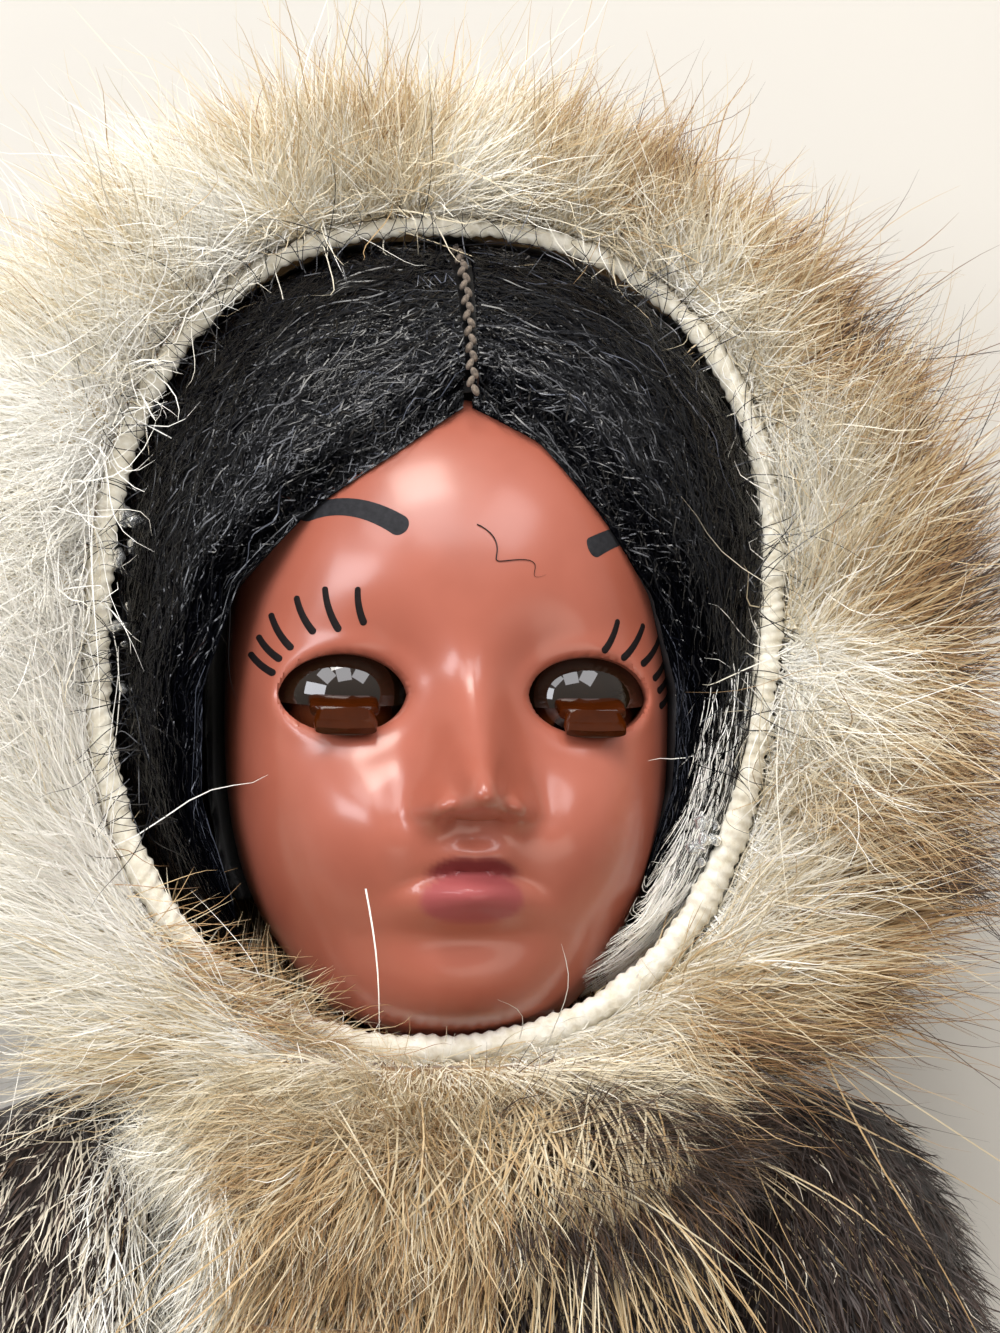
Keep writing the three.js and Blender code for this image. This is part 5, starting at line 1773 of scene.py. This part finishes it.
    def parting(self) -> None:
        """The stitches along the parting."""
        low, high = self.hairlines[Side.LEFT][0][1] + 0.4, self.opening.up + self.opening.rise - 1.4
        places = np.arange(low, high, self.stitch_pitch)
        height = self.surface(0 * places, places) + AXIS + 0.3
        sway = (-1.0) ** np.arange(len(places))
        middles = np.stack([0.14 * sway, places + EYE_LINE, height], axis=-1)
        leans = np.radians(90 + self.stitch_lean * sway)
        turns = [np.array(Matrix.Rotation(lean, 3, "Z")) for lean in leans]
        radii = np.tile(self.stitch_radii, (len(places), 1))
        made = ellipsoids("part_stitches", middles, radii, 10, np.array(turns))
        dress(made, self.look.thread, Body.HEAD, ["part_thread"])

    def flyaways(self, rng: Draws) -> None:
        """Loose frizzy hairs that cross the hide edge and the forehead.

        Args:
            rng: The source of chance.
        """
        for word, pile in (("short", self.short_loose), ("long", self.long_loose)):
            angle = np.radians(rng.uniform(-30, 215, pile.count))
            depth, rise = rng.uniform(-5, -1, pile.count), rng.uniform(0.5, 2.5, pile.count)
            lean = self.opening.way(angle) + np.array([0, 0, 0.35])
            lines = pile.grow(self.opening.at(angle, depth, rise), lean, rng)
            lines[..., 2] = np.maximum(lines[..., 2], self.opening.height + self.loose_lift)
            facing = facing_up(pile.count, 0.3, rng)
            tone = rng.uniform(0.2, 0.9, pile.count)
            width = np.full(pile.count, self.loose_width)
            Strands(f"{word}_loose_hairs", lines, facing, width, tone).wear(
                self.look.hair, Body.HEAD
            )

    def forehead_curl(self) -> None:
        """The one loose curl that lies on the forehead."""
        t = np.linspace(0, 1, 48)
        x = 0.2 + 4.9 * t + 0.5 * np.sin(12 * t)
        y = 10.6 - 4.6 * t + 2.2 * t**3 + 0.45 * np.cos(10 * t)
        line = np.stack([x, y + EYE_LINE, self.face.depth(x, y) + AXIS + 0.08], axis=-1)
        width, tone = np.array([0.08]), np.array([0.3])
        Strands("forehead_curl", line[None], UP[None], width, tone).wear(self.look.hair, Body.HEAD)


@dataclass
class Hood:
    """The hood's pelt, its rolled hide edge with beads of glue, and the long ruff."""

    look: Finish
    opening: HoodOpening
    ruff_out: float = 4.6  # middle of the ruff outside the hide edge
    ruff_breadth: float = 3.8
    ruff_depth: float = 5.0
    ruff_drop: float = 2.0  # middle of the ruff below the hide edge
    sweep: float = 3.2  # how far the ruff is brushed to the sides below the chin
    whips: int = 183  # turns of thread round the hide edge
    under_coats: int = 2
    caught_width: float = 0.07
    under: Pile = Pile(
        18500, 7.8, vary=0.5, width=0.085, stray=0.3, curl=1.1, lock=0.6, lock_size=40, droop=0.1, points=6
    )
    guard: Pile = Pile(
        6000, 13.5, vary=0.55, width=0.075, stray=0.45, curl=1.7,
        lock=0.35, lock_size=9, droop=0.1, points=8,
    )
    fringe: Pile = Pile(
        9000, 4.4, vary=0.5, width=0.075, stray=0.25, curl=0.6, lock=0.4, lock_size=20, points=6
    )
    caught: Pile = Pile(
        420, 7.0, vary=0.5, stray=0.35, curl=0.7, lock=0.35, lock_size=10, droop=0.2, points=8
    )
    shell: Pile = Pile(12000, 6.0, width=0.14)

    def build(self) -> None:
        """Builds and dresses the hood."""
        rng = np.random.default_rng(SEED + 1)
        self.edge(rng)
        self.beads()
        self.ruff_base()
        for coat in range(self.under_coats):
            self.ruff(f"ruff_underfur_{coat}", self.under, rng)
        self.ruff("ruff_guard_hair", self.guard, rng)
        self.edge_fringe(rng)
        self.caught_wisps(rng)
        coat = Coat(self.shell, Brushed(0.5, (0, 0.75, -0.15)), Flecked(0.5, 0.2))
        FurPiece(Pelt("hood_shell", 1.0), [coat], Body.HEAD, *self.look.tan_kind).build()

    def edge(self, rng: Draws) -> None:
        """The rolled hide edge, pinched all along by its thread, and slimmer over the crown.

        Args:
            rng: The source of chance.
        """
        angle, turn = full_turn(1400)[:, None], full_turn(16)[None, :]
        pinch = 0.07 * np.sin(self.whips * angle + 1.6 * np.sin(5 * angle) + 2 * turn)
        phases = zip((23, 37, 61), rng.uniform(0, 6.28, 3))
        lumps = sum(0.04 * np.sin(k * angle + phase) for k, phase in phases)
        slim = 0.84 - 0.26 * np.maximum(np.sin(angle), 0) ** 2
        radius = self.opening.edge_radius * (slim + pinch + lumps)
        rings = self.opening.at(angle, 1.05 * radius * np.cos(turn), 0.8 * radius * np.sin(turn))
        made = loft("hide_edge", rings, closed_ends=False)
        dress(made, self.look.hide, Body.HEAD, ["hood_edge"])

    def beads(self) -> None:
        """Beads of set glue between the hair and the hide edge."""
        rng = np.random.default_rng(SEED + 3)
        left = np.radians(np.concatenate([rng.normal(-38, 5, 16), rng.uniform(-28, 5, 8)]))
        spots = np.concatenate([left, np.radians(rng.uniform(155, 195, 12))])
        count = len(spots)
        middles = self.opening.at(spots, rng.uniform(-2.6, -1.0, count), rng.uniform(0.2, 0.8, count))
        radii = rng.uniform(0.25, 0.6, (count, 1)) * rng.uniform(0.6, 1.5, (count, 3))
        turns = [np.array(Matrix.Rotation(turn, 3, "Z")) for turn in rng.uniform(0, math.pi, count)]
        beads = ellipsoids("glue_beads", middles, radii, 20, np.array(turns))
        points = places_of(beads.data)
        dents = 0.07 * np.sin(points[:, [1, 2, 0]] * 7.0)
        move_to(beads.data, points + dents)
        dress(beads, self.look.glue, Body.HEAD)

    def ruff_base(self) -> None:
        """The pelt of the ruff."""
        angle, turn = full_turn(180)[:, None], full_turn(24)[None, :]
        size = 0.85 * (1 + 0.06 * np.sin(17 * angle) + 0.05 * np.sin(29 * angle + 1.0))
        share = self.reach(angle)
        out = share * (self.ruff_out + self.ruff_breadth * size * np.cos(turn))
        rise = share * (-self.ruff_drop + self.ruff_depth * size * np.sin(turn))
        made = loft("ruff_skin", self.opening.at(angle, out, rise), closed_ends=False)
        dress(made, self.look.pale_pelt, Body.HEAD, ["hood_ruff"])

    def ruff(self, name: str, pile: Pile, rng: Draws) -> None:
        """One coat of hair on the ruff.

        Args:
            name: The piece's name.
            pile: How it grows.
            rng: The source of chance.
        """
        count = pile.count
        angle = rng.uniform(-math.pi / 2, 1.5 * math.pi, count)
        turn = np.radians(rng.uniform(-75, 165, count))
        share = self.reach(angle)
        out = share * (self.ruff_out + self.ruff_breadth * np.cos(turn))
        rise = share * (-self.ruff_drop + self.ruff_depth * np.sin(turn))
        roots = self.opening.at(angle, out, rise)
        radial = self.opening.way(angle)
        ways = radial * (0.6 + 0.42 * np.cos(turn))[:, None] + UP * (0.15 + 0.45 * np.sin(turn))[:, None]
        swirl = np.stack([-radial[:, 1], radial[:, 0], 0 * angle], axis=-1)
        side = self.sweep * np.sin(angle) ** 2 * np.cos(angle) * ease(0.1, -0.5, np.sin(angle))
        side += 0.35 * np.sin(3 * angle + 0.6) + 0.25 * np.sin(7 * angle) + 0.25 * np.sin(19 * angle)
        ways += swirl * side[:, None]
        tufts = 1 + 0.22 * np.sin(31 * angle + 5 * turn) + 0.2 * np.sin(53 * angle - 4 * turn)
        lines = pile.grow(roots, ways, rng, share * tufts)
        facing = unit(UP + 0.2 * radial + rng.normal(0, 0.22, (count, 3)))
        width = pile.width * rng.uniform(0.6, 1.3, count)
        # Whiter on the ruff's inner side by the hide edge, tanner on its outer side: partly the fur's own
        # colour, partly painted light on the inner side, which lies in shade, and painted shade on the
        # outer side, most at the doll's left
        tone = self.ruff_tone(angle, rng) + (0.1 + 0.24 * np.maximum(np.cos(angle), 0)) * np.cos(turn)
        Strands(name, lines, facing, width, tone).wear(self.look.long_fur, Body.HEAD)

    def edge_fringe(self, rng: Draws) -> None:
        """Short white hair along the outside of the hide edge.

        Args:
            rng: The source of chance.
        """
        count = self.fringe.count
        angle = rng.uniform(-math.pi, math.pi, count)
        roots = self.opening.at(angle, rng.uniform(0.9, 2.2, count), rng.uniform(-0.8, 0.5, count))
        lean = self.opening.way(angle) + 0.5 * UP
        lines = self.fringe.grow(roots, lean, rng, self.reach(angle))
        facing = facing_up(count, 0.35, rng)
        width = self.fringe.width * rng.uniform(0.6, 1.3, count)
        tone = 0.6 * self.ruff_tone(angle, rng) - 0.06
        Strands("edge_fringe", lines, facing, width, tone).wear(self.look.long_fur, Body.HEAD)

    def caught_wisps(self, rng: Draws) -> None:
        """Tan wisps over the hide edge beside the doll's right jaw, and single hairs across the chin.

        Args:
            rng: The source of chance.
        """
        count = self.caught.count
        angle = np.radians(rng.normal(238, 8, count))
        roots = self.opening.at(angle, rng.uniform(0.5, 3.0, count), rng.uniform(0.5, 2.0, count))
        lean = np.array([0.75, -0.35, 0.35]) - 0.45 * self.opening.way(angle)
        lines = self.caught.grow(roots, lean, rng)
        begin = np.array([[(-7.0, 46.2, 42.6)], [(-15.4, 41.0, 38.0)]])
        end = np.array([[(-6.0, 37.0, 42.0)], [(-9.8, 39.6, 41.0)]])
        t = np.linspace(0, 1, self.caught.points)[None, :, None]
        single = begin + (end - begin) * t + np.array([0.25, 0, 0.3]) * np.sin(math.pi * t)
        lines = np.concatenate([lines, single])
        facing = facing_up(len(lines), 0.3, rng)
        tone = np.append(rng.uniform(0.3, 0.75, count), [0.12, 0.2])
        width = np.append(np.full(count, self.caught_width), [0.12, 0.11])
        Strands("caught_wisps", lines, facing, width, tone).wear(self.look.long_fur, Body.HEAD)

    @staticmethod
    def reach(angle: Array) -> Array:
        """How long the ruff's hair is at angles round the face, beside its usual length.

        Args:
            angle: How far round, from the doll's left over the crown.

        Returns:
            The share of the usual length.
        """
        degrees = [-90, -72, -48, -20, 10, 35, 60, 90, 110, 135, 180, 228, 252, 270]
        share = [0.5, 0.6, 1.0, 1.05, 1.05, 0.82, 0.66, 0.72, 0.8, 0.9, 1.0, 1.0, 0.6, 0.5]
        return round_face(angle, degrees, share)

    @staticmethod
    def ruff_tone(angle: Array, rng: Draws) -> Array:
        """The ruff's colour round the face: whiter at the doll's right, tan at the crown and the left.

        Args:
            angle: How far round.
            rng: The source of chance.

        Returns:
            Each hair's place on the palette.
        """
        degrees = [-90, -60, -35, -10, 15, 45, 70, 95, 120, 150, 185, 215, 240, 270]
        tone = [0.36, 0.46, 0.48, 0.46, 0.42, 0.42, 0.38, 0.32, 0.2, 0.04, -0.1, -0.04, 0.18, 0.32]
        patch = 0.1 * np.sin(11 * angle + 0.4) + 0.07 * np.sin(23 * angle)
        usual = round_face(angle, degrees, tone)
        return np.clip(usual + patch + rng.normal(0, 0.13, len(angle)), 0, 1)


# Clothes


@dataclass
class Parka:
    """The parka's body: dark fur, a light strip down the front, a bib of long fur and a light hem."""

    look: Finish
    white_edges: tuple[float, float] = (-25.0, -14.5)  # the white strip, beside the tan one
    tan_end: float = 0.8  # where the tan strip ends
    band_top: float = 13.0  # above this the strips grow on the parka itself
    bib_end: float = 1.5  # where the bib's light fur gives way to dark, towards the doll's left
    tuft_share: float = 0.7  # share of the long hairs in the tuft
    fall_sink: float = 3.2  # how far under the bib the long hairs start
    fall_rise: float = 2.9  # how far they come up from there
    plush: Pile = Pile(23000, 4.4, vary=0.35, width=0.12, stray=0.3, curl=0.5, lock=0.4, lock_size=16)
    strip: Pile = Pile(
        15000, 7.0, vary=0.4, width=0.1, curl=0.8, lock=0.55, lock_size=30, droop=0.05, points=6
    )
    bib: Pile = Pile(16000, 6.4, vary=0.45, width=0.09, curl=0.8, lock=0.6, lock_size=30, points=6)
    long_hairs: Pile = Pile(
        330, 27.0, vary=0.4, width=0.12, stray=0.16, curl=1.5, lock=0.3, lock_size=6, points=14
    )
    hem: Pile = Pile(12000, 6.5, width=0.14)

    def build(self) -> None:
        """Builds and dresses the parka."""
        down = Brushed(0.55, (0, -0.85, 0))
        strips = Coat(self.strip, down, self.strip_tone, self.on_strips, self.look.long_fur)
        plush = Coat(self.plush, down, self.dark_tone)
        band = Coat(self.strip, down, self.strip_tone)
        bib = Coat(self.bib, self.bib_lay, self.bib_tone)
        pieces: list[tuple[Pelt, Sequence[Coat], tuple[Any, ...]]] = [
            (Pelt("parka_front", 0.5), [plush, strips], self.look.dark_kind),
            (Pelt("parka_back", 0.5), [plush], self.look.dark_kind),
            (Pelt("front_band", 0.9, rounds=16), [band], self.look.tan_kind),
            (Pelt("collar_fur", 2.8), [bib], self.look.bib_kind),
            (Pelt("hem_band", 2.0), [Coat(self.hem, down, Flecked(0.25))], self.look.pale_kind),
        ]
        for pelt, coats, kind in pieces:
            FurPiece(pelt, coats, Body.TRUNK, *kind, room=0.4).build()
        self.fall()

    def on_strips(self, roots: Array) -> Array:
        """Says which roots lie on the light strips of the parka's front.

        Args:
            roots: Where the hairs start.

        Returns:
            True for each root of the white strip, and of the tan one above its own band.
        """
        x, y, z = roots.T
        white = (x > self.white_edges[0]) & (x < self.white_edges[1])
        tan = (x >= self.white_edges[1]) & (x < self.tan_end) & (y > self.band_top)
        return (z > AXIS) & (white | tan)

    def fall(self) -> None:
        """The long golden hairs that fall from the top of the bib, most in a tuft at the doll's left."""
        rng = np.random.default_rng(SEED + 2)
        pile = self.long_hairs
        count = pile.count
        tuft = rng.uniform(0, 1, count) < self.tuft_share
        across = np.where(tuft, rng.normal(7.0, 3.0, count), rng.uniform(-22, 26, count))
        roots = np.stack([across, rng.uniform(29.0, 36.0, count), 0 * across], axis=-1)
        under = Neighbours([])
        roots[:, 2] = under.height(roots) - self.fall_sink
        spread = np.where(tuft, rng.normal(0.08, 0.34, count), 0.03 * across + rng.normal(0.1, 0.6, count))
        ways = np.stack([spread, 0 * across - 0.9, 0 * across + 0.12], axis=-1)
        lines = pile.grow(roots, ways, rng)
        emerge = self.fall_rise * ease(0.0, 0.2, np.linspace(0, 1, pile.points))
        lines[..., 2] = np.maximum(lines[..., 2], under.height(lines) - self.fall_sink + emerge)
        facing = facing_up(count, 0.3, rng)
        width = pile.width * rng.uniform(0.6, 1.2, count)
        tone = rng.normal(0.48, 0.08, count)
        Strands("bib_long_hairs", lines, facing, width, tone).wear(
            self.look.long_fur, Body.TRUNK
        )

    def dark_tone(self, roots: Array, rng: Draws) -> Array:
        """The dark fur's tone, with white hairs beside the light strip.

        Args:
            roots: Where the hairs start.
            rng: The source of chance.

        Returns:
            Each root's place on the palette.
        """
        count = len(roots)
        beside = ease(self.white_edges[1] + 1, self.white_edges[1] - 1, roots[:, 0]) * (roots[:, 2] > AXIS)
        light = np.where(self.on_strips(roots), 0.9, 0.42 * beside) > rng.uniform(0, 1, count)
        return np.where(light, rng.uniform(0, 0.12, count), 0.72 + rng.normal(0, 0.13, count))

    def strip_tone(self, roots: Array, rng: Draws) -> Array:
        """The light strip's tone, white along the doll's right and tan along the middle.

        Args:
            roots: Where the hairs start.
            rng: The source of chance.

        Returns:
            Each root's place on the palette.
        """
        pale = ease(self.white_edges[1] + 1.5, self.white_edges[1] - 1.5, roots[:, 0])
        streaks = 0.13 * np.sin(2.1 * roots[:, 0]) + 0.08 * np.sin(5.3 * roots[:, 0])
        return 0.57 - 0.53 * pale + (1 - pale) * streaks + rng.normal(0, 0.1, len(roots))

    def bib_tone(self, roots: Array, rng: Draws) -> Array:
        """The bib's tone: white and tan as the strip below it, dark at the doll's left.

        Args:
            roots: Where the hairs start.
            rng: The source of chance.

        Returns:
            Each root's place on the palette.
        """
        count = len(roots)
        top = ease(29.0, 34.0, roots[:, 1])
        light = 0.8 * self.strip_tone(roots, rng) * (1 - top) + 0.24 * top + rng.normal(0.06, 0.07, count)
        low = ease(34.0, 32.0, roots[:, 1]) * ease(self.bib_end - 1.5, self.bib_end + 3, roots[:, 0])
        return np.where(low > rng.uniform(0, 1, count), 0.88 + rng.normal(0, 0.06, count), light)

    @staticmethod
    def bib_lay(roots: Array, outward: Array) -> Array:
        """The bib's lay: fanned downwards, and standing up along its top.

        Args:
            roots: Where the hairs start.
            outward: The skin's outward way at each.

        Returns:
            The way that each hair sets out.
        """
        top = ease(26.0, 33.0, roots[:, 1])
        side = np.tanh((roots[:, 0] + 2) / 7)
        fan = np.stack([(0.1 + 0.75 * top) * side, -0.85 + 0.7 * top, 0.1 + 0.3 * top], axis=-1)
        return 0.45 * outward + fan


@dataclass
class Limbs:
    """Sleeves with their cuffs and hands, trouser legs, and boots with their cuffs."""

    look: Finish
    sleeve: Pile = Pile(13000, 4.4, vary=0.35, width=0.13, curl=0.5, lock=0.45, lock_size=16, droop=0.05)
    blaze: Pile = Pile(
        3500, 6.0, vary=0.4, width=0.1, curl=0.8, lock=0.5, lock_size=20, droop=0.05, points=6
    )
    blaze_edge: float = -24.5  # outer edge of the white blaze on the right sleeve
    blaze_low: float = 4.0  # how far below the doll's axis it reaches
    cuff: Pile = Pile(6000, 5.5, width=0.13, curl=0.6)
    trouser: Pile = Pile(8000, 4.6, width=0.14)
    boot_cuff: Pile = Pile(5200, 4.5, width=0.13)
    stitches: int = 18  # along each half of a sole
    stitch_inset: float = 0.5  # middle of the stitches inside the sole's edge
    stitch_radii: tuple[float, float, float] = (0.6, 0.24, 0.22)

    def build(self) -> None:
        """Builds and dresses the limbs."""
        for side in Side:
            self.arm(side)
            self.leg(side)

    def arm(self, side: Side) -> None:
        """One arm and its sleeve.

        Args:
            side: The doll's side.
        """
        body = Body.LEFT_ARM if side is Side.LEFT else Body.RIGHT_ARM
        out = 0.22 * side.value
        sleeve, cuff = Pelt(f"{side.word}_sleeve", 0.3), Pelt(f"{side.word}_cuff", 1.5)
        lay = Brushed(0.5, (out, -0.9, 0.08))
        sleeve_coats = [Coat(self.sleeve, lay, Flecked(0.7, 0.13, 0.02))]
        if side is Side.RIGHT:
            sleeve_coats[0] = Coat(self.sleeve, lay, self.piebald)
            white = Flecked(WHITE_TONE, 0.08)
            sleeve_coats.append(Coat(self.blaze, lay, white, self.on_blaze, self.look.long_fur))
        cuff_coat = Coat(self.cuff, Brushed(0.9, (out / 2, -0.45, 0.04)), Flecked(0.25))
        FurPiece(sleeve, sleeve_coats, body, *self.look.dark_kind, room=0.4).build()
        FurPiece(cuff, [cuff_coat], body, *self.look.pale_kind).build()
        hand = Pelt(f"{side.word}_arm", inset=0.0, voxel=0.35, rounds=4).build()
        dress(hand, self.look.limb, body, [f"{side.word}_arm"])

    def on_blaze(self, roots: Array) -> Array:
        """Says which roots of the right sleeve lie on its white blaze, next to the parka's white strip."""
        wavy = self.blaze_edge + 1.2 * np.sin(0.9 * roots[:, 1])
        return (roots[:, 0] > wavy) & (roots[:, 2] > AXIS - self.blaze_low)

    def piebald(self, roots: Array, rng: Draws) -> Array:
        """The right sleeve's tone: dark, with white hairs towards the blaze.

        Args:
            roots: Where the hairs start.
            rng: The source of chance.

        Returns:
            Each root's place on the palette.
        """
        count = len(roots)
        near = ease(self.blaze_edge - 14, self.blaze_edge, roots[:, 0])
        share = 0.05 + 0.36 * near * (roots[:, 2] > AXIS - self.blaze_low)
        return np.where(share > rng.uniform(0, 1, count), WHITE_TONE, 0.7 + rng.normal(0, 0.13, count))

    def leg(self, side: Side) -> None:
        """One leg's clothes.

        Args:
            side: The doll's side.
        """
        trouser, cuff = Pelt(f"{side.word}_trouser_leg", 1.2), Pelt(f"{side.word}_boot_cuff", 0.9)
        trouser_coat = Coat(self.trouser, Brushed(0.5, (0, -0.85, 0)), Flecked(0.7, 0.13))
        cuff_coat = Coat(self.boot_cuff, Brushed(0.9, (0, -0.35, 0)), Flecked(0.25))
        FurPiece(trouser, [trouser_coat], Body.TRUNK, *self.look.dark_kind, room=0.6).build()
        FurPiece(cuff, [cuff_coat], Body.TRUNK, *self.look.pale_kind, room=0.6).build()
        boot = Pelt(f"{side.word}_boot", inset=0.0, voxel=0.5, rounds=8).build()
        dress(boot, self.look.suede, Body.TRUNK, [f"{side.word}_boot"])
        self.sole_stitches(side)

    def sole_stitches(self, side: Side) -> None:
        """The whip stitches that join a boot to its sole.

        Args:
            side: The doll's side.
        """
        low, high = box_mm(f"{side.word}_boot_sole")
        half = (high[0] - low[0]) / 2 - self.stitch_inset
        t = np.linspace(0, 1, self.stitches, endpoint=False)
        across = half * (1 - 2 * t) * (1 + 2 * t * (1 - t))
        round_end = 4 * t * (1 - t)
        toe = round_end * (high[2] - AXIS - self.stitch_inset)
        heel = round_end * (low[2] - AXIS + self.stitch_inset)
        x, z = np.concatenate([across, -across]), np.concatenate([toe, heel])
        out = unit(np.stack([x, 0 * x, z], axis=-1))
        spots = np.stack([x + (low[0] + high[0]) / 2, 0 * x + high[1], z + AXIS], axis=-1)
        up = np.tile([0.0, 1.0, 0.0], (len(x), 1))
        turns = np.stack([out, up, np.cross(out, up)], axis=-1)
        radii = np.tile(self.stitch_radii, (len(x), 1))
        made = ellipsoids(f"{side.word}_sole_stitches", spots, radii, 10, turns)
        dress(made, self.look.thread, Body.TRUNK)


@dataclass
class InnerWorks:
    """The frame's own rigid pieces that stay as they are, each with its material."""

    look: Finish

    def dress(self) -> None:
        """Gives each node its material."""
        finishes = {
            "head_back_shell": self.look.limb,
            "body_front": self.look.limb,
            "body_back": self.look.limb,
            "neck_plug": self.look.limb,
            "eye_bracket": self.look.steel,
            "eye_axle": self.look.steel,
            "neck_hook": self.look.steel,
            "eye_weight": self.look.lead,
            "arm_elastic": self.look.rubber,
            "left_boot_sole": self.look.sole,
            "right_boot_sole": self.look.sole,
        }
        for name, material in finishes.items():
            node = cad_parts[name]
            node.data.materials.clear()
            node.data.materials.append(material)
            LOG.info("%s keeps its own shape", name)


# Stage


@dataclass(frozen=True)
class Lamp:
    """A soft rectangular lamp, turned to what the camera looks at.

    Attributes:
        name: Its name.
        place: Where it hangs, from the camera's aim.
        size: Its breadth and height.
        watts: Its power.
        colour: Its colour as "#RRGGBB".
    """

    name: str
    place: tuple[float, float, float]
    size: tuple[float, float]
    watts: float
    colour: str

    def add(self, aim: Vector) -> None:
        """Adds the lamp to the scene.

        Args:
            aim: The place that it shines on, in millimetres.
        """
        data = bpy.data.lights.new(self.name, "AREA")
        data.shape = "RECTANGLE"
        data.size, data.size_y = self.size[0] * MM, self.size[1] * MM
        data.energy = self.watts
        data.color = linear(self.colour)[:3]
        made = linked(self.name, data)
        spot = (aim + Vector(self.place)) * MM
        made.location = spot
        made.rotation_euler = (aim * MM - spot).to_track_quat("-Z", "Y").to_euler()


@dataclass
class Stage:
    """The floor, the lights and the camera."""

    aim: tuple[float, float, float] = (2.28, 60.98, 38.0)
    yaw: float = -7.8
    pitch: float = -4.23
    roll: float = 0.25
    distance: float = 167.5
    focal_px: float = 2500.0
    image_height_px: float = 1333.0
    sensor: float = 36.0
    floor_size: float = 3000.0
    floor_drop: float = 0.2  # how far the floor lies under the doll
    clip: float = 10.0  # the nearest that the camera sees
    sky: float = 0.5  # the world's strength

    def build(self) -> None:
        """Builds the stage."""
        half = self.floor_size / 2
        corners = [(-half, -half), (half, -half), (half, half), (-half, half)]
        floor = piece("floor", np.array([(x, y, -self.floor_drop) for x, y in corners]), [(0, 1, 2, 3)])
        floor.data.materials.append(PaleFloor().make())
        self.lights()
        self.world()
        self.camera()

    def toward_camera(self) -> Vector:
        """The way from the aim to the camera."""
        yaw, pitch = math.radians(self.yaw), math.radians(self.pitch)
        return Vector((math.sin(yaw) * math.cos(pitch), math.sin(pitch), math.cos(yaw) * math.cos(pitch)))

    def camera(self) -> None:
        """Adds the camera at the photograph's place."""
        back = self.toward_camera()
        right = Vector((0, 1, 0)).cross(back).normalized()
        up = back.cross(right)
        turn = Matrix((right, up, back)).transposed() @ Matrix.Rotation(math.radians(self.roll), 3, "Z")
        data = bpy.data.cameras.new("camera")
        data.sensor_fit = "VERTICAL"
        data.sensor_height = self.sensor
        data.lens = self.focal_px / self.image_height_px * self.sensor
        data.clip_start = self.clip * MM
        made = linked("camera", data)
        place = Matrix.Translation((Vector(self.aim) + back * self.distance) * MM)
        made.matrix_world = place @ turn.to_4x4()
        bpy.context.scene.camera = made

    def lights(self) -> None:
        """Adds a window of four panes, one at the side and a low fill."""
        panes = [Lamp("window_pane", (x, 240, 355), (150, 190), 0.42, "#FBFBFF") for x in (-235, -45, 145)]
        others = [
            Lamp("high_pane", (-85, 330, 285), (190, 130), 1.0, "#FFFBF3"),
            Lamp("side_window", (-320, 70, 290), (120, 240), 0.8, "#F6F8FF"),
            Lamp("low_fill", (130, -270, 340), (420, 260), 0.55, "#FFF3E4"),
        ]
        for lamp in panes + others:
            lamp.add(Vector(self.aim))

    def world(self) -> None:
        """Adds a soft world, brighter towards the crown."""
        world = bpy.data.worlds.new("soft_room")
        bpy.context.scene.world = world
        world.use_nodes = True
        tree = world.node_tree
        sky = tree.nodes["Background"]
        sky.inputs["Strength"].default_value = self.sky
        across = add_node(tree, "SeparateXYZ", {0: add_node(tree, "TexCoord").outputs["Generated"]})
        fade = add_node(tree, "MapRange", {"Value": across.outputs["Y"], "From Min": -1.0})
        colour = ramp_colour(tree, fade.outputs["Result"], [(0.15, "#9A9893"), (0.7, "#FAF9F6")])
        tree.links.new(colour, sky.inputs["Color"])
        bpy.context.scene.view_settings.view_transform = "Standard"


def main() -> None:
    """Builds the doll and its stage."""
    logging.basicConfig(level=logging.INFO, format="%(name)s: %(message)s")
    look = Finish()
    face, opening = Face(look), HoodOpening()
    face.build()
    SleepEyes(look).build()
    Wig(look, opening, face).build()
    Hood(look, opening).build()
    Parka(look).build()
    Limbs(look).build()
    InnerWorks(look).dress()
    Stage().build()
    bpy.context.view_layer.update()


if __name__ == "__main__":
    main()
